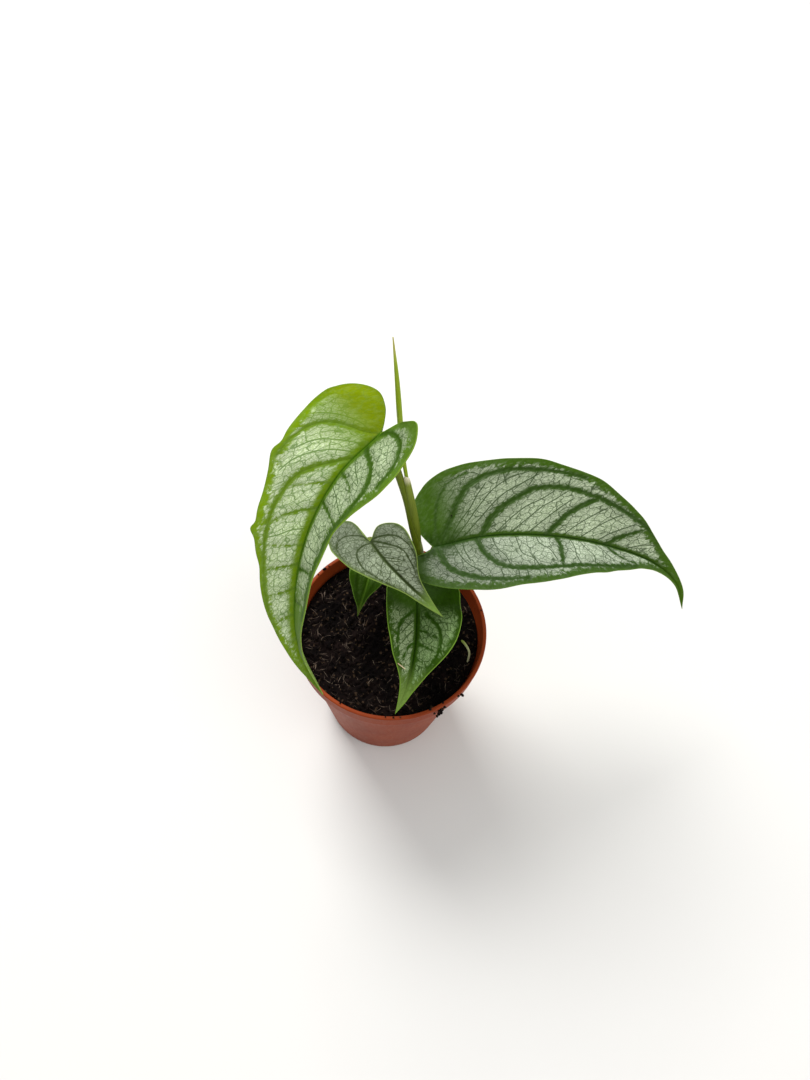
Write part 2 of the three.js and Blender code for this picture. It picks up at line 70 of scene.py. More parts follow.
# The middle of the plant, m
MIDDLE = (0, 0, 0.06)

# A distance that stands for no vein near, mm
FAR = 9.0

Array = np.ndarray
Random = np.random.Generator
Point = tuple[float, ...]
Path = tuple[Point, ...]
Socket = bpy.types.NodeSocket
Tree = bpy.types.NodeTree
Sockets = dict[str, Socket]
Inputs = dict[int | str, Socket | float | Point]

# Inputs of the colour Mix node: the factor, the colour under and the colour laid over it
FACTOR = 0
UNDER = 6
OVER = 7
RGBA = {"out": 2, "data_type": "RGBA"}
SMOOTH = {"interpolation_type": "SMOOTHSTEP"}


# Small maths

def unit(vectors: Array) -> Array:
    """Vectors divided by their own lengths, which are kept above zero."""
    return vectors / np.maximum(np.linalg.norm(vectors, axis=-1, keepdims=True), 1e-12)


def bump(distance: Array, half_width: float) -> Array:
    """A smooth bump of height 1: exp(-(distance / half_width) squared)."""
    return np.exp(-((distance / half_width) ** 2))


def ease(value: Array, low: float, high: float) -> Array:
    """Smoothstep: 0 below low, 1 above high, and 3t^2 - 2t^3 between them."""
    t = np.clip((value - low) / (high - low), 0, 1)
    return t * t * (3 - 2 * t)


def rough(x: Array, y: Array, cell: float, seed: int) -> Array:
    """Smooth value noise from -1 to 1: random heights on a square lattice, eased between its points.

    Args:
        x: First coordinates, mm.
        y: Second coordinates, mm.
        cell: Side of a lattice square, mm.
        seed: Seed of the random heights.

    Returns:
        The heights.
    """
    size = 64
    table = np.random.default_rng(seed).uniform(-1, 1, (size, size))
    u = x / cell + 31.7
    v = y / cell + 17.3
    i = np.floor(u).astype(int)
    j = np.floor(v).astype(int)
    s = ease(u - i, 0, 1)
    t = ease(v - j, 0, 1)
    low = table[i % size, j % size] * (1 - s) + table[(i + 1) % size, j % size] * s
    high = table[i % size, (j + 1) % size] * (1 - s) + table[(i + 1) % size, (j + 1) % size] * s
    return low * (1 - t) + high * t


class Spline:
    """A centripetal Catmull-Rom curve through points of any dimension, as in the solids' source."""

    SAMPLES = 1200

    def __init__(self, points: Path | Array) -> None:
        """Keeps the points and measures the curve once, for its arc length.

        Args:
            points: The points, one a row.
        """
        self.points = np.asarray(points, float)
        self.line = self.at(np.linspace(0, 1, self.SAMPLES + 1))
        steps = np.linalg.norm(np.diff(self.line, axis=0), axis=1)
        measured = np.concatenate([[0], np.cumsum(steps)])
        self.length = float(measured[-1])
        self.shares = measured / self.length

    def at(self, u: Array) -> Array:
        """Points at knot parameter u, 0 to 1, with the knots evenly spaced in it.

        Each span is a Hermite cubic whose end slopes come from knot steps of the square root of chord length.

        Args:
            u: The parameters.

        Returns:
            The points, one a row.
        """
        p = self.points
        ends = np.vstack([2 * p[0] - p[1], p, 2 * p[-1] - p[-2]])
        spans = len(p) - 1
        position = np.clip(u, 0, 1) * spans
        i = np.minimum(position.astype(int), spans - 1)
        t = (position - i)[..., None]
        knots = [ends[i + k] for k in range(4)]
        d0, d1, d2 = (
            np.maximum(np.linalg.norm(b - a, axis=-1, keepdims=True) ** 0.5, 1e-4)
            for a, b in zip(knots, knots[1:])
        )
        p0, p1, p2, p3 = knots
        start = ((p1 - p0) / d0 - (p2 - p0) / (d0 + d1) + (p2 - p1) / d1) * d1
        end = ((p2 - p1) / d1 - (p3 - p1) / (d1 + d2) + (p3 - p2) / d2) * d1
        square = 3 * (p2 - p1) - 2 * start - end
        cube = 2 * (p1 - p2) + start + end
        return p1 + start * t + square * t**2 + cube * t**3

    def along(self, share: Array) -> Array:
        """Points at a share of the curve's length."""
        columns = [np.interp(share, self.shares, self.line[:, k]) for k in range(self.line.shape[1])]
        return np.stack(columns, -1)

    def ahead(self, share: Array) -> Array:
        """Unit tangents at a share of the curve's length."""
        step = 1e-3
        return unit(self.along(np.clip(share + step, 0, 1)) - self.along(np.clip(share - step, 0, 1)))


def to_path(x: Array, y: Array, path: Array) -> tuple[Array, Array, Array]:
    """Measures plan points against a polyline.

    Args:
        x: First coordinates of the points, mm.
        y: Second coordinates of the points, mm.
        path: The polyline's points, one a row.

    Returns:
        The distance to it, the side that each point is on (-1 or 1), and how far along it that is, 0 to 1.
    """
    distance = np.full(x.shape, np.inf)
    side = np.ones(x.shape)
    share = np.zeros(x.shape)
    for k, (start, end) in enumerate(zip(path, path[1:])):
        dx, dy = end - start
        t = np.clip(((x - start[0]) * dx + (y - start[1]) * dy) / max(dx * dx + dy * dy, 1e-9), 0, 1)
        off_x = x - start[0] - t * dx
        off_y = y - start[1] - t * dy
        reach = np.hypot(off_x, off_y)
        closer = reach < distance
        distance = np.where(closer, reach, distance)
        side = np.where(closer, np.where(dx * off_y - dy * off_x < 0, -1.0, 1.0), side)
        share = np.where(closer, (k + t) / (len(path) - 1), share)
    return distance, side, share


# Meshes

def put(name: str, data: bpy.types.ID) -> bpy.types.Object:
    """Puts a mesh, light or camera in the scene.

    Args:
        name: The object's name.
        data: What the object shows.

    Returns:
        The object.
    """
    thing = bpy.data.objects.new(name, data)
    bpy.context.scene.collection.objects.link(thing)
    return thing


def sweep(path: Array, radii: Array, sides: int, capped: bool = True) -> Array:
    """Rings of a tube: each is the path's point plus radius times (cos a across + sin a up).

    Args:
        path: Centres of the rings, mm.
        radii: One radius a ring, or one for each ring and side.
        sides: Points in a ring.
        capped: Whether each end closes in its centre.

    Returns:
        The points, rings by sides by 3.
    """
    ahead = unit(np.gradient(path, axis=0))
    lead = np.cross((0, 0, 1), ahead[0])
    if np.linalg.norm(lead) < 0.1:
        lead = np.array((1.0, 0, 0))
    across = np.empty_like(ahead)
    for k, direction in enumerate(ahead):
        lead = unit(lead - (lead @ direction) * direction)
        across[k] = lead
    up = np.cross(ahead, across)
    angle = np.linspace(0, 2 * np.pi, sides, endpoint=False)
    spokes = across[:, None] * np.cos(angle)[:, None] + up[:, None] * np.sin(angle)[:, None]
    reach = radii if radii.ndim == 2 else np.repeat(radii[:, None], sides, 1)
    rings = path[:, None] + spokes * reach[..., None]
    if not capped:
        return rings
    ends = [np.repeat(path[k][None, None], sides, 1) for k in (0, -1)]
    return np.concatenate([ends[0], rings, ends[1]])


def lathe(profile: Array, segments: int) -> Array:
    """Turns a profile round the upright axis: (radius cos angle, radius sin angle, height).

    Args:
        profile: Radius and height of each point, mm.
        segments: Points in each ring.

    Returns:
        The points, profile by segments by 3.
    """
    angle = np.linspace(0, 2 * np.pi, segments, endpoint=False)
    radius, height = profile[:, :1], np.repeat(profile[:, 1:], segments, 1)
    return np.stack([radius * np.cos(angle), radius * np.sin(angle), height], -1)


class Surface:
    """Grids of points that are collected and become one piece, with a look and values for the materials."""

    def __init__(self) -> None:
        """Starts empty."""
        self.points: list[Array] = []
        self.faces: list[Array] = []
        self.looks: list[Array] = []
        self.values: list[dict[str, Array]] = []
        self.count = 0

    def grid(
        self, points: Array, look: int = 0, closed: bool = False, flip: bool = False, **values: Array
    ) -> None:
        """Adds a grid, rows by columns by 3, whose front looks along columns cross rows.

        Args:
            points: The grid's points, mm.
            look: Number of the finish that it wears.
            closed: Whether the last column joins the first.
            flip: Whether the front is turned to the other side.
            values: Numbers or vectors for the materials, one for each point.
        """
        rows, columns = points.shape[:2]
        index = np.arange(rows * columns).reshape(rows, columns)
        if closed:
            index = np.hstack([index, index[:, :1]])
        a, b, c, d = index[:-1, :-1], index[:-1, 1:], index[1:, 1:], index[1:, :-1]
        triangles = np.concatenate([np.stack([a, b, c], -1), np.stack([a, c, d], -1)]).reshape(-1, 3)
        flat = {
            name: np.asarray(value, float).reshape(rows * columns, -1) for name, value in values.items()
        }
        self.shape(points.reshape(-1, 3), triangles[:, ::-1] if flip else triangles, look, **flat)

    def shape(self, points: Array, triangles: Array, look: int = 0, **values: Array) -> None:
        """Adds loose points and their triangles.

        Args:
            points: The points, mm.
            triangles: Numbers of the points at each triangle's corners.
            look: Number of the finish that they wear.
            values: Numbers or vectors for the materials, one for each point.
        """
        self.points.append(points)
        self.faces.append(triangles + self.count)
        self.looks.append(np.full(len(triangles), look))
        self.values.append({name: value.reshape(len(points), -1) for name, value in values.items()})
        self.count += len(points)

    def tube(
        self, path: Array, radii: Array, sides: int, look: int = 0, capped: bool = True, tone: float = 0.0
    ) -> None:
        """Adds a tube, with its plan (mm round, mm along) and its share along for the material.

        Args:
            path: Centres of the rings, mm.
            radii: One radius a ring, or one for each ring and side.
            sides: Points in a ring.
            look: Number of the finish that it wears.
            capped: Whether each end closes in its centre.
            tone: A number for the whole tube.
        """
        rings = sweep(path, radii, sides, capped)
        rows = len(rings)
        walked = np.concatenate([[0], np.cumsum(np.linalg.norm(np.diff(path, axis=0), axis=1))])
        if rows > len(path):
            walked = np.concatenate([walked[:1], walked, walked[-1:]])
        girth = 2 * np.pi * float(np.mean(radii))
        fold = np.abs(np.linspace(-1, 1, sides, endpoint=False))
        plan = np.zeros((rows, sides, 3))
        plan[..., 0] = girth * fold / 2
        plan[..., 1] = walked[:, None]
        share = np.repeat((walked / max(walked[-1], 1e-9))[:, None], sides, 1)
        self.grid(rings, look, closed=True, plan=plan, share=share, tone=np.full((rows, sides), tone))

    def build(
        self, name: str, slot: str, finishes: list[bpy.types.Material], *nodes: str
    ) -> bpy.types.Object:
        """Welds the points, makes the object, dresses it and gives it to the part's body.

        Args:
            name: The piece's name.
            slot: Not used.
            finishes: The materials, in the order of the looks.
            nodes: The solids that the piece stands for.

        Returns:
            The object.
        """
        points = np.concatenate(self.points) * MM
        places = np.round(points, WELD_DIGITS)
        _, first, joined = np.unique(places, axis=0, return_index=True, return_inverse=True)
        faces = joined.ravel()[np.concatenate(self.faces)]
        whole = (faces[:, 0] != faces[:, 1]) & (faces[:, 1] != faces[:, 2]) & (faces[:, 2] != faces[:, 0])
        mesh = bpy.data.meshes.new(name)
        mesh.from_pydata(points[first], [], faces[whole])
        mesh.polygons.foreach_set("material_index", np.concatenate(self.looks)[whole].astype(np.int32))
        mesh.polygons.foreach_set("use_smooth", np.ones(int(whole.sum()), bool))
        widths = {key: value.shape[1] for part in self.values for key, value in part.items()}
        for key, width in widths.items():
            parts = [
                part.get(key, np.zeros((len(cloud), width))) for part, cloud in zip(self.values, self.points)
            ]
            data = np.concatenate(parts)[first].astype(np.float32)
            kind, field = ("FLOAT_VECTOR", "vector") if width == 3 else ("FLOAT", "value")
            mesh.attributes.new(key, kind, "POINT").data.foreach_set(field, data.ravel())
        for finish in finishes:
            mesh.materials.append(finish)
        mesh.update()
        piece = put(name, mesh)
        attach(piece, "root")
        if nodes:
            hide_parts(*nodes)
        LOG.info("%s: %d triangles", name, len(mesh.polygons))
        return piece


# Finishes

def linear(colour: str) -> Point:
    """An sRGB hex colour as linear RGBA: c / 12.92 below 0.04045, else ((c + 0.055) / 1.055) ** 2.4."""
    channels = [int(colour[k:k + 2], 16) / 255 for k in (1, 3, 5)]
    return (*(c / 12.92 if c < 0.04045 else ((c + 0.055) / 1.055) ** 2.4 for c in channels), 1.0)


def add(
    tree: Tree, kind: str, inputs: Inputs | None = None, out: int | str = 0, **settings: object
) -> Socket:
    """Adds a shader node, sets it and fills or links its inputs.

    Args:
        tree: The material's tree.
        kind: The node's type, without the words ShaderNode.
        inputs: A value or a socket for each input, by name or number.
        out: Name or number of the output to give back.
        settings: The node's own properties.

    Returns:
        The output socket.
    """
    node = tree.nodes.new("ShaderNode" + kind)
    for name, value in settings.items():
        setattr(node, name, value)
    for name, value in (inputs or {}).items():
        if isinstance(value, Socket):
            tree.links.new(value, node.inputs[name])
        else:
            node.inputs[name].default_value = value
    return node.outputs[out]


@dataclass(frozen=True)
class Finish:
    """A material: its name, its typical roughness and the strength of its reflection."""

    name: str
    roughness: float = 0.5
    shine: float = 0.2

    def start(self) -> tuple[bpy.types.Material, Tree, bpy.types.Node]:
        """Makes the material, with its typical roughness and reflection.

        Returns:
            The material, its tree and its shader.
        """
        material = bpy.data.materials.new(self.name)
        material.use_nodes = True
        tree = material.node_tree
        shader = tree.nodes["Principled BSDF"]
        shader.inputs["Roughness"].default_value = self.roughness
        shader.inputs["Specular IOR Level"].default_value = self.shine
        return material, tree, shader


@dataclass(frozen=True)
class Palette:
    """The colours of one half of a blade: its green, its silver and its veins."""

    green: str
    deep: str
    silver: str
    silver_edge: str
    net: str
    band: str


@dataclass(frozen=True)
class LeafFace(Finish):
    """Living leaf under a thin waxy skin: green veins and margin round silver panels with a darker net.

    The silver is air under the skin between the veins, so it breaks up into small cells at its edges.
    Widths are mm on the blade and shares are of the midrib's length. Pairs are for half 0 and half 1.
    net_cell, fine_cell and the fields after them are the real sizes of the marks, mm.
    """

    shine: float = 0.04
    palettes: tuple[Palette, Palette] = ()
    rib: str = "#3c5a1c"
    edge: str = "#b7cf7a"
    tip: str = "#6f8f3c"
    # glow_lime is painted light: the yellow glow of light shining through a lobe from behind, worn up to a
    # share of the midrib
    glow_lime: str = "#8ca51a"
    glow_lime_ends: Point = (-1.0, -1.0)
    silver_starts: Point = (-0.06, -0.06)
    silver_ends: Point = (0.84, 0.84)
    silver_fades: Point = (0.04, 0.04)
    broken: float = 0.5
    base_dark: float = 0.9
    base_dim: float = 1.0
    tip_from: float = 0.73
    silver_amount: float = 1.0
    band_width: float = 1.0
    edge_width: float = 2.6
    rib_width: float = 1.1
    net_cell: float = 2.3
    fine_cell: float = 0.85
    cloud: float = 6.25
    waver: float = 2.5
    patch: float = 1.25
    speck: float = 0.3846

    def dress(self) -> bpy.types.Material:
        """Builds the material from the blade's own distances to its veins, midrib and margin.

        Returns:
            The material: panels over green tissue, with the lines drawn last and the net a little sunk.
        """
        material, tree, shader = self.start()
        fields = self.fields(tree)
        paints = self.paints(tree, fields["half"])
        green = self.green(tree, fields, paints)
        panel = self.panel(tree, fields, paints)
        colour = add(tree, "Mix", {FACTOR: self.silver(tree, fields), UNDER: green, OVER: panel}, **RGBA)
        colour = self.drawn(tree, fields, colour, paints["deep"])
        tree.links.new(colour, shader.inputs["Base Color"])
        low, high = self.roughness - 0.07, self.roughness + 0.1
        gloss = add(tree, "MapRange", {"Value": fields["patch"], "To Min": low, "To Max": high})
        tree.links.new(gloss, shader.inputs["Roughness"])
        sunk = add(tree, "Math", {0: fields["lines"], 1: -1.0}, operation="MULTIPLY")
        normal = add(tree, "Bump", {"Height": sunk, "Strength": 0.35, "Distance": 0.06 * MM})
        tree.links.new(normal, shader.inputs["Normal"])
        return material

    def fields(self, tree: Tree) -> Sockets:
        """Reads the mesh's own numbers, and makes the noises and masks that several marks share.

        Args:
            tree: The material's tree.

        Returns:
            The sockets by name.
        """
        plan = add(tree, "Attribute", out="Vector", attribute_name="plan")
        share = add(tree, "Attribute", out="Fac", attribute_name="share")
        main, core, thin = self.split(tree, "vein")
        near_thin, margin, rib = self.split(tree, "lie")
        across = add(tree, "SeparateXYZ", {0: plan}, out="Y")
        half = add(tree, "MapRange", {"Value": across, "From Min": -0.15, "From Max": 0.15})
        patch = add(tree, "TexNoise", {"Vector": plan, "Scale": 1 / self.patch, "Detail": 3.0})
        waver = add(tree, "TexNoise", {"Vector": plan, "Scale": 1 / self.waver, "Detail": 2.0}, out="Color")
        waver = add(tree, "VectorMath", {0: waver, "Scale": 1.3}, operation="SCALE")
        bent = add(tree, "VectorMath", {0: plan, 1: waver}, operation="ADD")
        cells = add(tree, "TexVoronoi", {"Vector": bent, "Scale": 1 / self.fine_cell}, out="Color")
        grain = add(tree, "SeparateXYZ", {0: cells})
        jitter = add(tree, "Math", {0: patch, 1: grain}, operation="ADD")
        jitter = add(tree, "Math", {0: jitter, 1: -1.0}, operation="ADD")
        base = add(tree, "MapRange", {"Value": share, "From Min": 0.22, "From Max": 0.0}, **SMOOTH)
        close = add(tree, "MapRange", {"Value": rib, "From Min": 7.0, "From Max": 0.5}, **SMOOTH)
        for factor in (close, self.base_dark):
            base = add(tree, "Math", {0: base, 1: factor}, operation="MULTIPLY")
        last = {"Value": share, "From Min": self.tip_from, "From Max": self.tip_from + 0.3}
        return {
            "plan": plan, "share": share, "half": half, "patch": patch, "grain": grain, "jitter": jitter,
            "main": main, "core": core, "margin": margin, "rib": rib, "base": base,
            "tip": add(tree, "MapRange", last, **SMOOTH),
            "lines": self.net(tree, bent, near_thin, thin),
        }

    def split(self, tree: Tree, name: str) -> list[Socket]:
        """The three numbers of a vector value of the mesh."""
        vector = add(tree, "Attribute", out="Vector", attribute_name=name)
        return [add(tree, "SeparateXYZ", {0: vector}, out=axis) for axis in "XYZ"]

    def paints(self, tree: Tree, half: Socket) -> Sockets:
        """Mixes each colour of the two palettes across the midrib.

        Args:
            tree: The material's tree.
            half: 1 on half 0, and 0 on half 1.

        Returns:
            The colours by the palettes' own names.
        """
        over, under = (
            {name: linear(colour) for name, colour in vars(palette).items()} for palette in self.palettes
        )
        return {
            name: add(tree, "Mix", {FACTOR: half, UNDER: under[name], OVER: over[name]}, **RGBA)
            for name in over
        }

    def by_half(self, tree: Tree, fields: Sockets, pair: Point) -> Socket:
        """A value that is the pair's first on half 0 and its second on half 1."""
        return add(tree, "MapRange", {"Value": fields["half"], "To Min": pair[1], "To Max": pair[0]})

    def green(self, tree: Tree, fields: Sockets, paints: Sockets) -> Socket:
        """Colours the tissue: deeper at the base and veins, painted glow of backlight in a lobe, paler at the
        tip.

        Args:
            tree: The material's tree.
            fields: What fields() gives.
            paints: What paints() gives.

        Returns:
            The colour.
        """
        near = {"Value": fields["main"], "From Min": self.band_width * 1.7, "From Max": self.band_width * 0.5}
        # Painted light: lime where light shines through the lobe from behind, before a share of the midrib
        ends = self.by_half(tree, fields, self.glow_lime_ends)
        glow_lime = add(tree, "Math", {0: ends, 1: fields["share"]}, operation="SUBTRACT")
        pale = {"Value": fields["patch"], "From Min": 0.45, "From Max": 0.75, "To Max": 0.2}
        layers = (
            (fields["base"], paints["deep"]),
            (add(tree, "MapRange", near, **SMOOTH), paints["band"]),
            (
                add(tree, "MapRange", {"Value": glow_lime, "From Min": -0.05, "From Max": 0.05}, **SMOOTH),
                linear(self.glow_lime),
            ),
            (fields["tip"], linear(self.tip)),
            (add(tree, "MapRange", pale), paints["silver_edge"]),
            (add(tree, "Math", {0: fields["lines"], 1: 0.3}, operation="MULTIPLY"), paints["net"]),
        )
        green = paints["green"]
        for mask, over in layers:
            green = add(tree, "Mix", {FACTOR: mask, UNDER: green, OVER: over}, **RGBA)
        return green

    def panel(self, tree: Tree, fields: Sockets, paints: Sockets) -> Socket:
        """Colours the silver: each cell a little lighter or darker, dim at the base, with the net over it.

        Args:
            tree: The material's tree.
            fields: What fields() gives.
            paints: What paints() gives.

        Returns:
            The colour.
        """
        cloud = add(tree, "TexNoise", {"Vector": fields["plan"], "Scale": 1 / self.cloud, "Detail": 2.0})
        specks = add(tree, "TexNoise", {"Vector": fields["plan"], "Scale": 1 / self.speck, "Detail": 1.0})
        specks = add(tree, "MapRange", {"Value": specks, "From Min": 0.38, "From Max": 0.6, "To Max": 0.65})
        white = add(tree, "Math", {0: cloud, 1: 0.7, 2: specks}, operation="MULTIPLY_ADD", use_clamp=True)
        silvers = {FACTOR: white, UNDER: paints["silver_edge"], OVER: paints["silver"]}
        panel = add(tree, "Mix", silvers, **RGBA)
        tint = add(tree, "MapRange", {"Value": fields["grain"], "To Min": 0.9, "To Max": 1.08})
        from_base = {"Value": fields["share"], "From Max": 0.5, "To Min": self.base_dim}
        from_vein = {"Value": fields["main"], "From Min": self.band_width, "From Max": self.band_width + 4.0}
        for ramp in (from_base, {**from_vein, "To Min": 0.84, "To Max": 1.14}):
            factor = add(tree, "MapRange", ramp, **SMOOTH)
            tint = add(tree, "Math", {0: tint, 1: factor}, operation="MULTIPLY")
        panel = add(tree, "VectorMath", {0: panel, "Scale": tint}, operation="SCALE")
        return add(tree, "Mix", {FACTOR: fields["lines"], UNDER: panel, OVER: paints["net"]}, **RGBA)

    def silver(self, tree: Tree, fields: Sockets) -> Socket:
        """Masks the silver off the veins, margin, midrib, base and tip, with edges broken by the cells.

        Args:
            tree: The material's tree.
            fields: What fields() gives.

        Returns:
            The mask: the product of a smooth step at each limit, whose distance the jitter has moved.
        """
        share = fields["share"]
        pairs = (self.silver_starts, self.silver_fades, self.silver_ends)
        starts, fades, ends = (self.by_half(tree, fields, pair) for pair in pairs)
        since = add(tree, "Math", {0: share, 1: starts}, operation="SUBTRACT")
        since = add(tree, "Math", {0: since, 1: fades}, operation="DIVIDE")
        left = add(tree, "Math", {0: ends, 1: share}, operation="SUBTRACT")
        limits = (
            (fields["main"], self.broken, self.band_width * 0.6, self.band_width * 1.45),
            (fields["margin"], 3.0 * self.broken, self.edge_width - 0.8, self.edge_width + 0.9),
            (fields["rib"], 0.8 * self.broken, self.rib_width * 0.6, self.rib_width * 1.45),
            (since, 0.05 * self.broken, 0.0, 1.0),
            (left, 0.2 * self.broken, 0.0, 0.12),
        )
        mask = add(tree, "Math", {0: 1.0, 1: fields["base"]}, operation="SUBTRACT")
        mask = add(tree, "Math", {0: mask, 1: self.silver_amount}, operation="MULTIPLY")
        for distance, reach, low, high in limits:
            inputs = {0: fields["jitter"], 1: reach, 2: distance}
            moved = add(tree, "Math", inputs, operation="MULTIPLY_ADD")
            step = add(tree, "MapRange", {"Value": moved, "From Min": low, "From Max": high}, **SMOOTH)
            mask = add(tree, "Math", {0: step, 1: mask}, operation="MULTIPLY")
        return mask

    def drawn(self, tree: Tree, fields: Sockets, colour: Socket, deep: Socket) -> Socket:
        """Draws the core of each main vein, the groove of the midrib and the pale hard margin.

        Args:
            tree: The material's tree.
            fields: What fields() gives.
            colour: The colour to draw on.
            deep: The colour of the cores.

        Returns:
            The colour with the lines.
        """
        core = self.mark(tree, fields["core"], fields["main"], 0.08, 0.3)
        fainter = add(tree, "MapRange", {"Value": fields["tip"], "To Min": 0.35, "To Max": 0.0})
        core = add(tree, "Math", {0: core, 1: fainter}, operation="MULTIPLY")
        groove = add(tree, "MapRange", {"Value": fields["rib"], "From Min": 0.5, "From Max": 0.12}, **SMOOTH)
        rib_tone = {FACTOR: fields["tip"], UNDER: linear(self.rib), OVER: linear(self.tip)}
        rim = add(tree, "MapRange", {"Value": fields["margin"], "From Min": 0.24, "From Max": 0.06}, **SMOOTH)
        layers = ((core, deep), (groove, add(tree, "Mix", rib_tone, **RGBA)), (rim, linear(self.edge)))
        for mask, over in layers:
            colour = add(tree, "Mix", {FACTOR: mask, UNDER: colour, OVER: over}, **RGBA)
        return colour

    def mark(self, tree: Tree, line: Socket, near: Socket, full: float, none: float) -> Socket:
        """Masks a line where a signed distance passes zero, kept only near the vein itself.

        Args:
            tree: The material's tree.
            line: The signed distance, mm.
            near: The plain distance to the vein, mm.
            full: Distance up to which the line is full, mm.
            none: Distance at which it ends, mm.

        Returns:
            The mask.
        """
        size = add(tree, "Math", {0: line}, operation="ABSOLUTE")
        drawn = add(tree, "MapRange", {"Value": size, "From Min": none, "From Max": full}, **SMOOTH)
        here = add(tree, "MapRange", {"Value": near, "From Min": none * 4, "From Max": none * 2})
        return add(tree, "Math", {0: drawn, 1: here}, operation="MULTIPLY")

    def net(self, tree: Tree, bent: Socket, near_thin: Socket, thin: Socket) -> Socket:
        """Masks the thin veins and the net between them, in two sizes of mesh.

        Args:
            tree: The material's tree.
            bent: The plan, pushed about so that the net isn't straight.
            near_thin: Distance to a thin vein, mm.
            thin: The same with a sign, mm.

        Returns:
            The mask: the strongest of the lines, each fading from its full half width to none.
        """
        lines = self.mark(tree, thin, near_thin, 0.06, 0.26)
        lines = add(tree, "Math", {0: lines, 1: 0.9}, operation="MULTIPLY")
        meshes = ((self.net_cell, 0.8, 0.03, 0.15), (self.fine_cell, 0.36, 0.02, 0.1))
        for cell, strength, full, none in meshes:
            edges = {"Vector": bent, "Scale": 1 / cell}
            gap = add(tree, "TexVoronoi", edges, "Distance", feature="DISTANCE_TO_EDGE")
            fall = {"Value": gap, "From Min": none / cell, "From Max": full / cell, "To Max": strength}
            drawn = add(tree, "MapRange", fall, **SMOOTH)
            lines = add(tree, "Math", {0: lines, 1: drawn}, operation="MAXIMUM")
        return lines


@dataclass(frozen=True)
class LeafBack(Finish):
    """The matt, paler underside of a leaf, with raised pale veins. Its marks are in mm."""

    tissue: str = "#8fa86a"
    vein: str = "#b3c487"
    patch: float = 2.0
    net_cell: float = 2.2222

    def dress(self) -> bpy.types.Material:
        """Builds the material from the blade's distances to its veins.

        Returns:
            The material: paler at the main veins and, by half as much, at the net.
        """
        material, tree, shader = self.start()
        plan = add(tree, "Attribute", out="Vector", attribute_name="plan")
        vein = add(tree, "Attribute", out="Vector", attribute_name="vein")
        main = add(tree, "SeparateXYZ", {0: vein})
        patch = add(tree, "TexNoise", {"Vector": plan, "Scale": 1 / self.patch, "Detail": 3.0})
        near = add(tree, "MapRange", {"Value": main, "From Min": 0.9, "From Max": 0.2}, **SMOOTH)
        cells = {"Vector": plan, "Scale": 1 / self.net_cell}
        gap = add(tree, "TexVoronoi", cells, "Distance", feature="DISTANCE_TO_EDGE")
        lines = add(tree, "MapRange", {"Value": gap, "From Min": 0.07, "From Max": 0.01, "To Max": 0.5})
        near = add(tree, "Math", {0: near, 1: lines}, operation="MAXIMUM")
        colour = add(tree, "Mix", {FACTOR: near, UNDER: linear(self.tissue), OVER: linear(self.vein)}, **RGBA)
        shade = add(tree, "MapRange", {"Value": patch, "To Min": 0.85, "To Max": 1.12})
        colour = add(tree, "VectorMath", {0: colour, "Scale": shade}, operation="SCALE")
        tree.links.new(colour, shader.inputs["Base Color"])
        return material


@dataclass(frozen=True)
class StalkSkin(Finish):
    """Smooth living skin of a stalk: fine lengthwise streaks, mm, and another colour towards its end."""

    low: str = "#5b6a22"
    high: str = "#76852c"
    end: str = "#8a9a4a"
    end_from: float = 0.85
    streak_width: float = 0.3125
    streak_length: float = 8.3333

    def dress(self) -> bpy.types.Material:
        """Builds the material from the tube's plan and its share along.

        Returns:
            The material: two colours mixed along the stalk, with streaks lighter and darker, and raised.
        """
        material, tree, shader = self.start()
        plan = add(tree, "Attribute", out="Vector", attribute_name="plan")
        share = add(tree, "Attribute", out="Fac", attribute_name="share")
        scale = (1 / self.streak_width, 1 / self.streak_length, 1.0)
        drawn = add(tree, "Mapping", {"Vector": plan, "Scale": scale})
        streak = add(tree, "TexNoise", {"Vector": drawn, "Scale": 1.0, "Detail": 3.0})
        colour = add(tree, "Mix", {FACTOR: share, UNDER: linear(self.low), OVER: linear(self.high)}, **RGBA)
        last = add(tree, "MapRange", {"Value": share, "From Min": self.end_from}, **SMOOTH)
        colour = add(tree, "Mix", {FACTOR: last, UNDER: colour, OVER: linear(self.end)}, **RGBA)
        spread = {"Value": streak, "From Min": 0.3, "From Max": 0.7, "To Min": 0.82, "To Max": 1.14}
        shade = add(tree, "MapRange", spread)
        colour = add(tree, "VectorMath", {0: colour, "Scale": shade}, operation="SCALE")
        tree.links.new(colour, shader.inputs["Base Color"])
        normal = add(tree, "Bump", {"Height": streak, "Strength": 0.25, "Distance": 0.05 * MM})
        tree.links.new(normal, shader.inputs["Normal"])
        return material


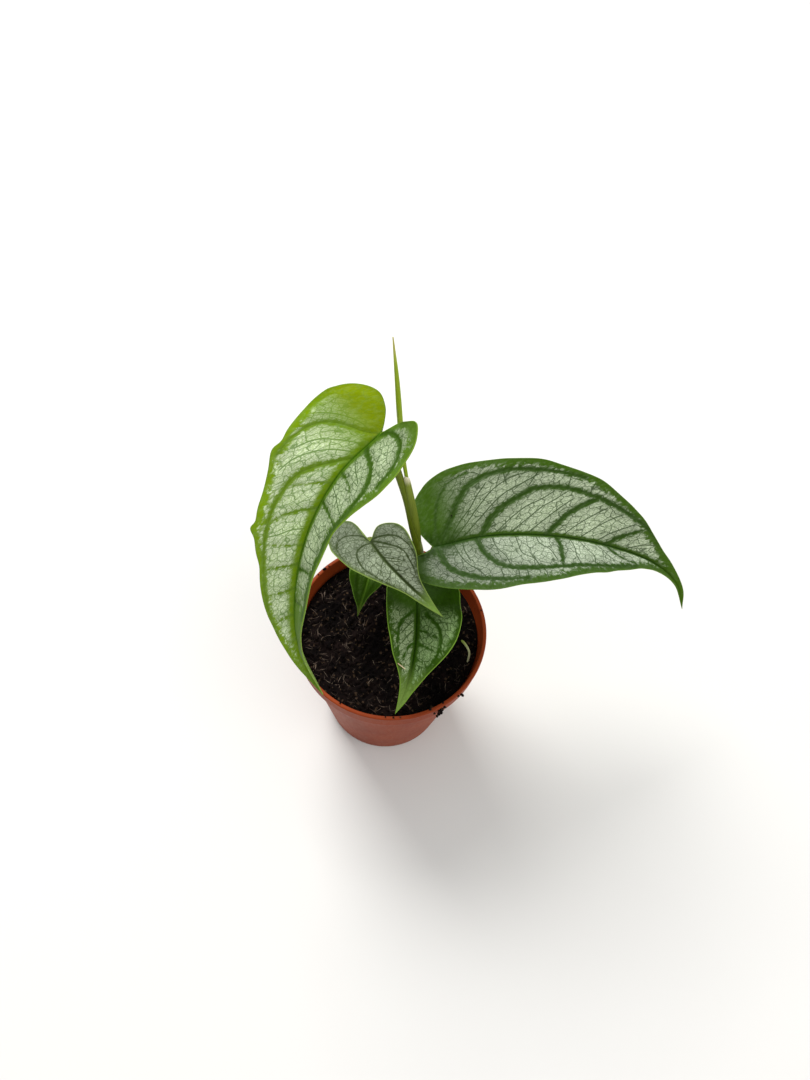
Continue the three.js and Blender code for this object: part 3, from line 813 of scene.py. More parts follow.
@dataclass(frozen=True)
class PotPlastic(Finish):
    """Moulded red-brown polypropylene: half matt and uneven in colour, with pale upright scuffs in patches.

    Its marks are in mm.
    """

    body: str = "#92401a"
    shade: str = "#6f2810"
    scuff: str = "#b98c74"
    blotch: float = 11.111
    scuff_width: float = 1.1111
    scuff_length: float = 3.8462
    worn_patch: float = 16.667

    def dress(self) -> bpy.types.Material:
        """Builds the material from object coordinates, which are metres.

        Returns:
            The material: blotches of two browns, then scuffs where a coarser noise lets them show.
        """
        material, tree, shader = self.start()
        place = add(tree, "TexCoord", out="Object")
        blotch = {"Vector": place, "Scale": 1 / (self.blotch * MM), "Detail": 4.0}
        blotch = add(tree, "TexNoise", blotch)
        browns = {FACTOR: blotch, UNDER: linear(self.shade), OVER: linear(self.body)}
        colour = add(tree, "Mix", browns, **RGBA)
        scale = [1 / (size * MM) for size in (self.scuff_width, self.scuff_width, self.scuff_length)]
        drawn = add(tree, "Mapping", {"Vector": place, "Scale": scale})
        scratch = add(tree, "TexNoise", {"Vector": drawn, "Scale": 1.0, "Detail": 5.0, "Roughness": 0.65})
        worn = add(tree, "MapRange", {"Value": scratch, "From Min": 0.62, "From Max": 0.82, "To Max": 0.3})
        where = {"Vector": place, "Scale": 1 / (self.worn_patch * MM), "Detail": 2.0}
        where = add(tree, "TexNoise", where)
        where = add(tree, "MapRange", {"Value": where, "From Min": 0.48, "From Max": 0.68}, **SMOOTH)
        worn = add(tree, "Math", {0: worn, 1: where}, operation="MULTIPLY")
        colour = add(tree, "Mix", {FACTOR: worn, UNDER: colour, OVER: linear(self.scuff)}, **RGBA)
        tree.links.new(colour, shader.inputs["Base Color"])
        gloss = {"Value": scratch, "To Min": self.roughness - 0.08, "To Max": self.roughness + 0.14}
        tree.links.new(add(tree, "MapRange", gloss), shader.inputs["Roughness"])
        normal = add(tree, "Bump", {"Height": scratch, "Strength": 0.2, "Distance": 0.05 * MM})
        tree.links.new(normal, shader.inputs["Normal"])
        return material


@dataclass(frozen=True)
class Litter(Finish):
    """Damp peat and bark: dark matt grains of several browns, with a few pale ones. Its marks are in mm."""

    dark: str = "#060303"
    light: str = "#1d1311"
    cell: float = 0.7
    rare: str = "#4a3a2c"
    rarity: float = 0.95
    dust: float = 4.0

    def dress(self) -> bpy.types.Material:
        """Builds the material from object coordinates, which are metres, and the mesh's own tone.

        Returns:
            The material: a brown for each cell, dusted by a noise, and a pale one where a cell is rare.
        """
        material, tree, shader = self.start()
        place = add(tree, "TexCoord", out="Object")
        tone = add(tree, "Attribute", out="Fac", attribute_name="tone")
        cells = add(tree, "TexVoronoi", {"Vector": place, "Scale": 1 / (self.cell * MM)}, out="Color")
        red = add(tree, "SeparateXYZ", {0: cells})
        blue = add(tree, "SeparateXYZ", {0: cells}, out="Z")
        dust = add(tree, "TexNoise", {"Vector": place, "Scale": 1 / (self.dust * MM), "Detail": 4.0})
        mixed = add(tree, "Math", {0: red, 1: dust}, operation="MULTIPLY")
        mixed = add(tree, "Math", {0: mixed, 1: tone}, operation="ADD", use_clamp=True)
        colour = add(tree, "Mix", {FACTOR: mixed, UNDER: linear(self.dark), OVER: linear(self.light)}, **RGBA)
        odd = add(tree, "Math", {0: blue, 1: self.rarity}, operation="GREATER_THAN")
        odd = add(tree, "Math", {0: odd, 1: 0.6}, operation="MULTIPLY")
        colour = add(tree, "Mix", {FACTOR: odd, UNDER: colour, OVER: linear(self.rare)}, **RGBA)
        tree.links.new(colour, shader.inputs["Base Color"])
        normal = add(tree, "Bump", {"Height": dust, "Strength": 0.7, "Distance": 0.2 * MM})
        tree.links.new(normal, shader.inputs["Normal"])
        return material


@dataclass(frozen=True)
class Plain(Finish):
    """An even matt paper, for the studio."""

    colour: str = "#d8d8d8"

    def dress(self) -> bpy.types.Material:
        """Builds the material.

        Returns:
            The material.
        """
        material, _, shader = self.start()
        shader.inputs["Base Color"].default_value = linear(self.colour)
        return material


# The leaf

class Look(IntEnum):
    """Which finish of a leaf a surface wears."""

    FACE = 0
    BACK = 1
    STALK = 2
    SHEATH = 3


@dataclass(frozen=True)
class BladeShape:
    """The solids' own dimensions of a leaf, mm: midrib, face directions, two halves, waves and stalk.

    A half's margin is drawn as (share of the midrib, distance from it), and its fold is in degrees at the
    midrib's two ends.
    """

    midrib: Path
    faces: Path
    margins: tuple[Path, Path]
    folds: tuple[Point, Point]
    wave: float
    waves: int
    stalk: Path


@dataclass(frozen=True)
class Veins:
    """Vein paths of one half as (share, mm): mains with their strength, then thin ones.

    lean is how far the net's pattern slants along the midrib for each mm from it.
    """

    mains: tuple[tuple[float, Path], ...]
    thins: tuple[Path, ...] = ()
    lean: float = 0.5


@dataclass
class Blade:
    """The flat plan of a leaf laid along its midrib in space."""

    SLANT = 0.55
    MARGIN_POINTS = 121
    UNEVEN = 0.3
    UNEVEN_CELL = 4.5
    WAVE_REACH = 0.22
    WAVE_SHIFT = 1.3
    ROW_BEND = 0.3
    ROW_BELLY = 0.62

    shape: BladeShape

    def __post_init__(self) -> None:
        """Measures the midrib and draws both margins in mm."""
        self.curve = Spline(self.shape.midrib)
        self.length = self.curve.length
        self.margins = [self.outline(side) for side in (0, 1)]

    def outline(self, side: int) -> Spline:
        """Draws the margin of a half: its smooth curve, made uneven by up to 0.3 mm where the half is wide.

        Args:
            side: The half, 0 or 1.

        Returns:
            The curve in the flat plan, mm.
        """
        margin = self.shape.margins[side]
        points = [(0, 0), *((share * self.length, width) for share, width in margin), (self.length, 0)]
        curve = Spline(points).at(np.linspace(0, 1, self.MARGIN_POINTS))
        uneven = self.UNEVEN * rough(curve[:, 0], curve[:, 1], self.UNEVEN_CELL, 30 + side)
        curve[:, 1] += uneven * ease(curve[:, 1], 0.5, 5)
        return Spline(curve)

    def frame(self, x: Array) -> tuple[Array, Array, Array, Array]:
        """Finds the midrib's own axes at places along it, which run straight on behind its base.

        Args:
            x: The places, mm from the base.

        Returns:
            Points on the midrib, directions along it, directions its face looks in, and those to its left.
        """
        share = np.clip(x / self.length, 0, 1)
        ahead = self.curve.ahead(share)
        first, last = (unit(np.array(face, float)) for face in self.shape.faces)
        face = first + (last - first) * share[..., None]
        face = unit(face - (face * ahead).sum(-1, keepdims=True) * ahead)
        centre = self.curve.along(share) + ahead * np.minimum(x, 0)[..., None]
        return centre, ahead, face, np.cross(face, ahead)

    def place(self, side: int, x: Array, y: Array) -> Array:
        """Lays flat points in space: centre + left times (y cos fold) + face times (y sin fold + wave).

        The wave is a sine along the midrib, times the square of y over 0.22 of the length.

        Args:
            side: The half, 0 or 1.
            x: Places along the midrib, mm.
            y: Distances from it, mm.

        Returns:
            The points, mm.
        """
        centre, _, face, left = self.frame(x)
        low, high = self.shape.folds[side]
        share = np.clip(x / self.length, 0, 1)
        fold = np.radians(low + (high - low) * share)
        phase = 2 * np.pi * self.shape.waves * x / self.length + self.WAVE_SHIFT * side
        wave = self.shape.wave * np.sin(phase) * (y / (self.WAVE_REACH * self.length)) ** 2
        turn = 1 if side == 0 else -1
        out = left * (turn * y * np.cos(fold))[..., None]
        return centre + out + face * (y * np.sin(fold) + wave)[..., None]

    def normal(self, side: int, x: Array, y: Array) -> Array:
        """Finds the directions square to the face, which turn to the midrib's own within 1.5 mm of it.

        Args:
            side: The half, 0 or 1.
            x: Places along the midrib, mm.
            y: Distances from it, mm.

        Returns:
            The unit directions.
        """
        step = 0.05
        forward = self.place(side, x + step, y) - self.place(side, x - step, y)
        outward = self.place(side, x, y + step) - self.place(side, x, y)
        square = unit(np.cross(forward, outward)) * (1 if side == 0 else -1)
        near = np.clip(y / 1.5, 0, 1)[..., None]
        return unit(self.frame(x)[2] * (1 - near) + square * near)

    def stations(self, side: int, fan: int, rows: int) -> tuple[Array, Array]:
        """Spaces the slanted rows: one that ends at the margin point M leaves the midrib at M.x - 0.55 M.y.

        The first rows, of the lobe, all fan out of the base.

        Args:
            side: The half, 0 or 1.
            fan: Number of rows in the lobe.
            rows: Number of rows after them.

        Returns:
            Where each row leaves the midrib, mm, and where it ends, in the margin's own parameter.
        """
        u = np.linspace(0, 1, 4001)
        margin = self.margins[side].at(u)
        roots = np.maximum.accumulate(margin[:, 0] - self.SLANT * margin[:, 1])
        start = u[np.searchsorted(roots, 0.0, side="right")]
        climbing = np.concatenate([[True], np.diff(roots) > 1e-6])
        shares = np.linspace(0, 1, rows + 1)[1:]
        ends = np.interp(shares * self.length, roots[climbing], u[climbing])
        ends[-1] = 1.0
        lobe = np.linspace(0, 1, fan + 1) * start
        return np.concatenate([np.zeros(fan + 1), shares * self.length]), np.concatenate([lobe, ends])

    def rows(self, side: int, roots: Array, ends: Array, t: Array) -> tuple[Array, Array]:
        """Runs each slanted row as a quadratic curve from the midrib to the margin.

        The curve's middle point is 0.3 of the way along the midrib and 0.62 of the way out.

        Args:
            side: The half, 0 or 1.
            roots: Where each row leaves the midrib, mm.
            ends: Where it ends, in the margin's own parameter.
            t: Shares of the way.

        Returns:
            The flat points' places along the midrib and distances from it, mm.
        """
        end = self.margins[side].at(ends)[:, None, :]
        x = roots[:, None]
        bend = x + self.ROW_BEND * (end[..., 0] - x)
        along = (1 - t) ** 2 * x + 2 * t * (1 - t) * bend + t**2 * end[..., 0]
        width = (2 * t * (1 - t) * self.ROW_BELLY + t**2) * end[..., 1]
        return along, width


@dataclass
class Leaf:
    """A leaf in one piece: the blade with its grooved veins, and the stalk that runs on into its midrib."""

    name: str
    slot: str
    shape: BladeShape
    veins: tuple[Veins, Veins]
    face: LeafFace
    back: LeafBack
    stalk: StalkSkin
    cell: float = 0.3
    back_columns: int = 14
    thickness: float = 0.5
    edge_thickness: float = 0.28
    midrib_ridge: float = 0.45
    vein_groove: float = 0.15
    quilting: float = 0.2
    unevenness: float = 0.1
    rib_groove: float = 0.22
    vein_ridge: float = 0.22
    quilt_width: float = 1.7
    rib_groove_width: float = 0.45
    vein_width: float = 0.5
    ridge_width: float = 1.1
    edge_band: float = 2.5
    surface: Surface | None = None

    def values(self, blade: Blade, side: int, x: Array, y: Array) -> dict[str, Array]:
        """Works out the numbers that the materials read, at flat points of a half.

        Args:
            blade: The blade.
            side: The half, 0 or 1.
            x: Places along the midrib, mm.
            y: Distances from it, mm.

        Returns:
            vein: distance to a main vein (more for a weak one), its signed distance, and a thin vein's.
            lie: distances to a thin vein, to the margin and to the midrib. plan and share place the point.
        """
        main, core, near, thin = (np.full(x.shape, FAR) for _ in range(4))
        for strength, path in self.veins[side].mains:
            distance, hand, share = to_path(x, y, self.line(blade, path))
            distance = distance + 0.9 * (1 - min(strength, 1)) + 0.25 * share
            core = np.where(distance < main, hand * distance, core)
            main = np.minimum(main, distance)
        for path in self.veins[side].thins:
            distance, hand, _ = to_path(x, y, self.line(blade, path))
            thin = np.where(distance < near, hand * distance, thin)
            near = np.minimum(near, distance)
        margin = to_path(x, y, blade.margins[side].at(np.linspace(0, 1, 161)))[0]
        turn = 1 if side == 0 else -1
        plan = np.stack([x - self.veins[side].lean * y, turn * y, np.zeros(x.shape)], -1)
        return {
            "vein": np.stack([main, core, thin], -1),
            "lie": np.stack([near, margin, y], -1),
            "plan": plan,
            "share": x / blade.length,
        }

    def line(self, blade: Blade, path: Path) -> Array:
        """A vein as 24 short straight pieces, mm."""
        points = [(share * blade.length, y) for share, y in path]
        return Spline(points).along(np.linspace(0, 1, 25))

    def half(self, blade: Blade, side: int) -> None:
        """Adds the two faces of a half, which meet in a rounded margin.

        The tissue swells between the veins. The face sinks at the midrib and the main veins, where the back
        has ridges, and all of it fades out towards the margin.

        Args:
            blade: The blade.
            side: The half, 0 or 1.
        """
        width = max(w for _, w in self.shape.margins[side])
        fan = max(12, round(1.4 * width / self.cell))
        roots, ends = blade.stations(side, fan, round(blade.length / self.cell))
        for under, columns in ((0, round(width / self.cell)), (1, self.back_columns)):
            x, y = blade.rows(side, roots, ends, np.linspace(0, 1, columns + 1)[None, :])
            values = self.values(blade, side, x, y)
            main, margin = values["vein"][..., 0], values["lie"][..., 1]
            at_edge = 1 - ease(margin, 0, self.edge_band)
            depth = (self.thickness + (self.edge_thickness - self.thickness) * at_edge) / 2
            inside = ease(margin, 0.1, self.edge_band)
            swell = self.quilting * (1 - bump(main, self.quilt_width)) * inside * ease(y, 0.3, 2.5)
            swell = swell + self.unevenness * rough(x, y, 4.0, 5 + side) * inside
            if under:
                taper = 1 - np.clip(x / blade.length, 0, 1)
                ridge = self.midrib_ridge * taper * bump(y, self.ridge_width)
                lift = swell - depth - ridge - self.vein_ridge * bump(main, self.vein_width) * inside
            else:
                groove = self.rib_groove * bump(y, self.rib_groove_width)
                groove = groove + self.vein_groove * bump(main, self.vein_width)
                lift = swell + depth - groove * inside
            normal = blade.normal(side, x, y)
            points = blade.place(side, x, y) + normal * lift[..., None]
            middle = blade.place(side, x[:, -1:], y[:, -1:])
            beyond = middle - blade.place(side, x[:, -1:], np.maximum(y[:, -1:] - 0.1, 0))
            middle = middle + unit(beyond) * (0.08 * np.clip(y[:, -1:], 0, 1))[..., None]
            points = np.concatenate([points, middle], 1)
            values = {name: np.concatenate([v, v[:, -1:]], 1) for name, v in values.items()}
            look = Look.BACK if under else Look.FACE
            self.surface.grid(points, look, flip=(side == 0) == bool(under), **values)

    def make_stalk(self, blade: Blade) -> None:
        """Adds the stalk, from inside the stem to where it thins out under the midrib.

        Each row of its end is the place along the midrib, the depth under it and the radius, all in radii of
        the stalk's top.

        Args:
            blade: The blade.
        """
        radius = self.shape.stalk[-1][3]
        end = []
        for x, depth, size in ((0.2, 1.3, 0.72), (2, 1.05, 0.72), (6, 0.75, 0.6), (10, 0.5, 0.25)):
            centre, _, face, _ = blade.frame(np.array(x * radius))
            end.append((*(centre - face * depth * radius), size * radius))
        nodes = Spline((*self.shape.stalk, *end)).along(np.linspace(0, 1, 90))
        self.surface.tube(nodes[:, :3], nodes[:, 3], 20, Look.STALK)

    def finishes(self) -> list[bpy.types.Material]:
        """The materials in the order of Look."""
        return [self.face.dress(), self.back.dress(), self.stalk.dress()]

    def make(self) -> Blade:
        """Builds the piece.

        Returns:
            The blade, for what lies on it.
        """
        self.surface = Surface()
        blade = Blade(self.shape)
        for side in (0, 1):
            self.half(blade, side)
        self.make_stalk(blade)
        self.more()
        self.surface.build(self.name + "_grown", self.slot, self.finishes(), self.name)
        return blade

    def more(self) -> None:
        """A place for what else a leaf carries."""


@dataclass
class SheathedLeaf(Leaf):
    """The left leaf, whose stalk carries the open sheath that the new leaf comes out of."""

    sheath: Path = (
        (6.5, 16.2, 78, 0.5), (4.9, 16.2, 88, 1), (2.9, 16.15, 99.5, 1.15), (0.5, 15.9, 114, 0.86),
    )
    sheath_skin: StalkSkin | None = None
    sides: int = 32
    rings: int = 60
    bore_rings: int = 16
    bore: float = 0.64
    bore_depth: float = 13.0
    mouth_slant: float = 2.0

    def finishes(self) -> list[bpy.types.Material]:
        """The materials in the order of Look."""
        return [*super().finishes(), self.sheath_skin.dress()]

    def more(self) -> None:
        """Adds the sheath: up the outside, over a thin slanted lip, and down the inside.

        The slant moves each point along the sheath by mouth_slant times (cos angle - 0.4), eased in over
        the last 5 mm.
        """
        route = Spline(self.sheath)
        outer = route.along(np.linspace(0, 1, self.rings))
        inner = route.along(np.linspace(0.999, 1 - self.bore_depth / route.length, self.bore_rings))
        inner[:, 3] = self.bore
        lip = inner[:1] * 1.0
        lip[:, 3] = (outer[-1, 3] + self.bore) / 2
        hollow = np.concatenate([lip, inner])[:, None]
        rings = sweep(outer[:, :3], outer[:, 3], self.sides, capped=False)
        ahead = unit(outer[-1, :3] - outer[-2, :3])
        angle = np.linspace(0, 2 * np.pi, self.sides, endpoint=False)
        inside = hollow[..., :3] + unit(rings[-1] - outer[-1, :3]) * hollow[..., 3:]
        ends = [np.repeat(node[None, None, :3], self.sides, 1) for node in (outer[0], inner[-1])]
        rings = np.concatenate([ends[0], rings, inside, ends[1]])
        height = (rings - outer[-1, :3]) @ ahead
        shift = self.mouth_slant * (np.cos(angle)[None, :] - 0.4) * ease(height, -5.0, 0.0)
        rings = rings + shift[..., None] * ahead
        share = np.linspace(0, 1, self.rings + 1)
        share = np.concatenate([share, np.ones(len(rings) - len(share))])[:, None]
        plan = np.zeros(rings.shape)
        plan[..., 0] = 3.5 * np.abs(np.linspace(-1, 1, self.sides, endpoint=False))
        plan[..., 1] = 34 * share
        share = np.repeat(share, self.sides, 1)
        self.surface.grid(rings, Look.SHEATH, closed=True, plan=plan, share=share)


# The other pieces

@dataclass
class Pot:
    """The moulded nursery pot: a thin turned wall with a collar and a rolled rim, and six drain holes, mm."""

    profile: Path = (
        (0, 0), (6.5, 0), (7, 0.9), (17.5, 0.9), (18, 0), (19.5, 0), (20, 0.5), (27.9, 48.5), (29.2, 48.5),
        (29.4, 48.8), (29.85, 53.8), (30, 54.3), (30, 54.75), (29.75, 55), (29, 55), (28.8, 54.8),
        (28.2, 49.5), (26.7, 48.2), (19.5, 3.2), (18.2, 2.2), (0, 2.2),
    )
    corner: float = 0.35
    segments: int = 180
    holes: int = 6
    hole_radius: float = 2.2
    hole_circle: float = 12.2
    plastic: PotPlastic = PotPlastic("PP_TerracottaMoulded", 0.46, 0.1)

    def outline(self) -> Array:
        """Rounds each corner of the profile by a quadratic curve, cut back 0.35 mm or 0.45 of an edge.

        Returns:
            The rounded profile, mm.
        """
        points = np.array(self.profile, float)
        rounded = [points[0]]
        t = np.linspace(0, 1, 5)[:, None]
        for before, here, after in zip(points, points[1:], points[2:]):
            reach = [min(self.corner, 0.45 * np.linalg.norm(end - here)) for end in (before, after)]
            start = here + unit(before - here) * reach[0]
            stop = here + unit(after - here) * reach[1]
            rounded.extend((1 - t) ** 2 * start + 2 * t * (1 - t) * here + t**2 * stop)
        return np.array([*rounded, points[-1]])

    def make(self) -> None:
        """Turns the profile, cuts the drain holes and dresses the pot."""
        surface = Surface()
        surface.grid(lathe(self.outline(), self.segments), closed=True)
        pot = surface.build("pot_moulded", "pot_plastic", [self.plastic.dress()], "pot")
        self.drill(pot)

    def drill(self, pot: bpy.types.Object) -> None:
        """Cuts the drain holes through the floor.

        Args:
            pot: The pot, whose mesh is changed.
        """
        drills = Surface()
        for i in range(self.holes):
            angle = 2 * math.pi * (i + 0.5) / self.holes
            x, y = self.hole_circle * math.cos(angle), self.hole_circle * math.sin(angle)
            path = np.array([(x, y, z) for z in (-1.0, 1.5, 4.0)])
            drills.tube(path, np.full(3, self.hole_radius), 32)
        points = np.concatenate(drills.points) * MM
        mesh = bpy.data.meshes.new("drills")
        mesh.from_pydata(points, [], np.concatenate(drills.faces))
        mesh.validate()
        cutter = put("drills", mesh)
        cut = pot.modifiers.new("Drain", "BOOLEAN")
        cut.object = cutter
        cut.solver = "EXACT"
        cut.use_self = True
        drilled = bpy.data.meshes.new_from_object(pot.evaluated_get(bpy.context.evaluated_depsgraph_get()))
        pot.modifiers.remove(cut)
        pot.data = drilled
        bpy.data.objects.remove(cutter)


@dataclass
class Soil:
    """The peat in the pot: a lumpy top, with crumbs and fibres that lie on it. Lengths are mm."""

    level: float = 50.2
    radius: float = 27.7
    side: Path = ((0, 2.6), (17.6, 2.6), (19.1, 3.5), (26.2, 47.1), (26.3, 48.7))
    stem: Point = (8.8, 14.5)
    rings: int = 104
    segments: int = 330
    crumbs: int = 1100
    fibres: int = 750
    hollow: Path = ((-6, -9, 9, 1.7), (13, -17, 5, 1.2), (-16, 6, 5, 0.8), (20, 6, 5, 0.8))
    crumb_sizes: Point = (0.2, 0.55)
    lump_sizes: Point = (0.5, 1.3)
    fibre_lengths: Point = (0.8, 4.0)
    fibre_radii: Point = (0.03, 0.12)
    seed: int = 4
    peat: Litter = Litter("Soil_PeatMoist", 0.95, 0.08)
    coir: Litter = Litter("Fibre_Coir", 0.9, 0.1, dark="#17100e", light="#807064", cell=2.5, rarity=1.1)

    def height(self, x: Array, y: Array) -> Array:
        """Gives the solids' own height of the soil's surface, with finer grain and hollows in it.

        It is the level plus four waves and three noises, less the hollows, which all fade out 2 to 5.5 mm
        from the pot's rim, plus a heap round the stem.

        Args:
            x: First coordinates, mm.
            y: Second coordinates, mm.

        Returns:
            The heights, mm.
        """
        crumbs = np.sin(1.9 * x + 0.8 * np.sin(1.3 * y)) * np.sin(1.7 * y - 0.6 * x)
        crumbs = crumbs + 0.6 * np.sin(0.7 * x + 0.9 * y + 1.1) + 0.5 * np.sin(0.8 * x - 0.6 * y + 2.3)
        edge = ease(30 - np.hypot(x, y), 2, 5.5)
        heap = 0.8 * bump(np.hypot(x - self.stem[0], y - self.stem[1]), 7)
        fine = 0.4 * rough(x, y, 3.2, 3) + 0.35 * rough(x, y, 1.3, 1) + 0.2 * rough(x, y, 0.6, 2)
        dip = sum(depth * self.inside(x, y, hollow) for *hollow, depth in self.hollow)
        return self.level + (0.45 * crumbs + fine - dip) * edge + heap - 0.3 * (1 - edge)

    def inside(self, x: Array, y: Array, hollow: list[float]) -> Array:
        """How far inside a hollow (x, y, radius) points lie, 0 to 1."""
        return bump(np.hypot(x - hollow[0], y - hollow[1]), hollow[2])

    def tone(self, x: Array, y: Array) -> Array:
        """How light or dark the soil is over a point: darker in the hollows, as painted shade."""
        # Painted shade: darker in each hollow
        hollow_shade = sum(self.inside(x, y, hollow[:3]) for hollow in self.hollow)
        return 0.4 * rough(x, y, 4.0, 8) - 0.05 - 0.35 * hollow_shade

    def make(self) -> None:
        """Builds the body of the soil, then what lies on it."""
        angle = np.linspace(0, 2 * np.pi, self.segments, endpoint=False)
        radii = self.radius * np.linspace(1, 0, self.rings + 1)[:, None]
        x, y = radii * np.cos(angle), radii * np.sin(angle)
        top = np.stack([x, y, self.height(x, y)], -1)
        surface = Surface()
        points = np.concatenate([lathe(np.array(self.side), self.segments), top])
        surface.grid(points, closed=True, tone=self.tone(points[..., 0], points[..., 1]))
        self.scatter(surface)
        surface.build("soil_peat", "soil", [self.peat.dress(), self.coir.dress()], "soil")

    def scatter(self, surface: Surface) -> None:
        """Strews crumbs and fibres over the top, all from one seed. Every sixth crumb is a larger lump.

        Args:
            surface: The surface that they join.
        """
        rng = np.random.default_rng(self.seed)
        for i in range(self.crumbs):
            x, y = self.spot(rng, 0.97)
            size = rng.uniform(*(self.crumb_sizes if i % 6 else self.lump_sizes))
            z = float(self.height(np.array(x), np.array(y))) + 0.3 * size
            # The crumb takes on the soil's tone, with its painted shade in the hollows
            lump(surface, (x, y, z), size, rng, tone=float(rng.uniform(-0.3, 0.35) + self.tone(x, y)))
        for _ in range(self.fibres):
            at = self.spot(rng, 0.93)
            turn = rng.uniform(0, 2 * math.pi)
            length = rng.uniform(*self.fibre_lengths)
            self.lay(surface, at, turn, length, rng.uniform(*self.fibre_radii), rng)

    def spot(self, rng: Random, share: float) -> Point:
        """Draws a place on the soil, evenly by area: its radius is the soil's times the root of a share.

        Args:
            rng: Gives the place.
            share: The largest share.

        Returns:
            The place, mm.
        """
        reach = self.radius * math.sqrt(rng.uniform(0, share))
        angle = rng.uniform(0, 2 * math.pi)
        return reach * math.cos(angle), reach * math.sin(angle)

    def lay(
        self, surface: Surface, at: Point, turn: float, length: float, radius: float, rng: Random
    ) -> None:
        """Lays one bent fibre on the soil, with its ends kept inside the pot.

        Args:
            surface: The surface that it joins.
            at: Its middle, mm.
            turn: Its direction, radians.
            length: Its length, mm.
            radius: Its radius in the middle, mm.
            rng: Gives its bend, tilt and tone.
        """
        t = np.linspace(-0.5, 0.5, 7)
        bend = rng.uniform(-0.35, 0.35) * length
        x = at[0] + t * length * math.cos(turn) - bend * (t**2 - 0.25) * math.sin(turn)
        y = at[1] + t * length * math.sin(turn) + bend * (t**2 - 0.25) * math.cos(turn)
        out = np.maximum(np.hypot(x, y) / (self.radius - 0.6), 1)
        x, y = x / out, y / out
        z = self.height(x, y)
        z = z.mean() + 0.5 * (z - z.mean()) + 0.25 + rng.uniform(-0.4, 0.4) * t * length
        radii = radius * (1 - 0.75 * np.abs(2 * t))
        # The fibre takes on the soil's tone, with its painted shade in the hollows
        tone = float(rng.uniform(-0.4, 0.5) + 1.5 * self.tone(*at))
        surface.tube(np.stack([x, y, z], -1), radii, 4, 1, tone=tone)


def lump(surface: Surface, at: Point, size: float, rng: Random, tone: float = 0.0) -> None:
    """Adds an uneven crumb of twenty faces, flattened and turned at random.

    Args:
        surface: The surface that it joins.
        at: Its middle, mm.
        size: Its radius, mm.
        rng: Gives its shape and turn.
        tone: How much lighter than dark peat it is.
    """
    golden = (1 + 5**0.5) / 2
    corners = [
        corner
        for a in (-1, 1)
        for b in (-golden, golden)
        for corner in ((0, a, b), (a, b, 0), (b, 0, a))
    ]
    points = unit(np.array(corners, float))
    near = np.linalg.norm(points[:, None] - points[None], axis=-1) < 1.2
    faces = [
        (i, j, k)
        for i in range(12)
        for j in range(i + 1, 12)
        for k in range(j + 1, 12)
        if near[i, j] and near[j, k] and near[i, k]
    ]
    faces = [
        face if np.linalg.det(points[list(face)]) > 0 else (face[0], face[2], face[1]) for face in faces
    ]
    points = points * rng.uniform(0.75, 1.2, (12, 1)) * rng.uniform(0.55, 1.0, 3)
    turn, _ = np.linalg.qr(rng.normal(size=(3, 3)))
    if np.linalg.det(turn) < 0:
        turn[:, 0] *= -1
    points = points @ turn.T * size + np.array(at)
    surface.shape(points, np.array(faces), tone=np.full(12, tone))


@dataclass
class Stem:
    """The short stem with its leaf rings, and the roots under it, mm."""

    path: Path = (
        (9.4, 13.8, 37, 1.9), (9.1, 14.1, 44, 2.2), (8.8, 14.5, 51, 2.3), (8.2, 15.2, 57, 2.1),
        (7.9, 15.8, 62, 1.7),
    )
    ring_heights: Point = (51.8, 54.4, 57.2, 60)
    roots: int = 7
    root_top: float = 39
    root_reach: float = 13
    root_depth: float = 28
    skin: StalkSkin = StalkSkin("Stem_GreenBark", 0.6, low="#5a5a26", high="#6d7a2c", end="#7b8a38")

    def make(self) -> None:
        """Builds the stem with its rings, then the roots that fan out into the soil."""
        surface = Surface()
        nodes = Spline(self.path).at(np.linspace(0, 1, 160))
        swell = sum(0.15 * bump(nodes[:, 2] - height, 0.6) for height in self.ring_heights)
        dome = np.sqrt(1 - np.linspace(0, 0.98, 9) ** 2)[1:]
        top = nodes[-1] + np.outer(np.linspace(0, 0.8, 9)[1:], unit(nodes[-1] - nodes[-2]))
        top[:, 3] = nodes[-1, 3] * dome
        nodes = np.concatenate([nodes, top])
        swell = np.concatenate([swell, np.zeros(8)])
        surface.tube(nodes[:, :3], nodes[:, 3] * (1 + swell), 32)
        x, y = self.path[0][:2]
        for i in range(self.roots):
            angle = 2 * math.pi * i / self.roots
            reach = self.root_reach * (0.65 + 0.35 * math.sin(2.7 * i))
            depth = self.root_depth * (0.8 + 0.2 * math.cos(3.9 * i))
            root = [
                (
                    x * (1 - 0.4 * share) + reach * share * math.cos(angle),
                    y * (1 - 0.6 * share) + reach * share * math.sin(angle),
                    self.root_top - depth * sunk,
                    radius,
                )
                for share, sunk, radius in ((0.02, 0, 0.75), (0.45, 0.25, 0.75), (0.8, 0.6, 0.6), (1, 1, 0.4))
            ]
            nodes = Spline(root).along(np.linspace(0, 1, 24))
            surface.tube(nodes[:, :3], nodes[:, 3], 12, 1)
        root_skin = StalkSkin("Root_PaleCork", 0.8, low="#a58f6a", high="#bfae8a", end="#d8cfae")
        surface.build("stem_grown", "stem", [self.skin.dress(), root_skin.dress()], "stem")


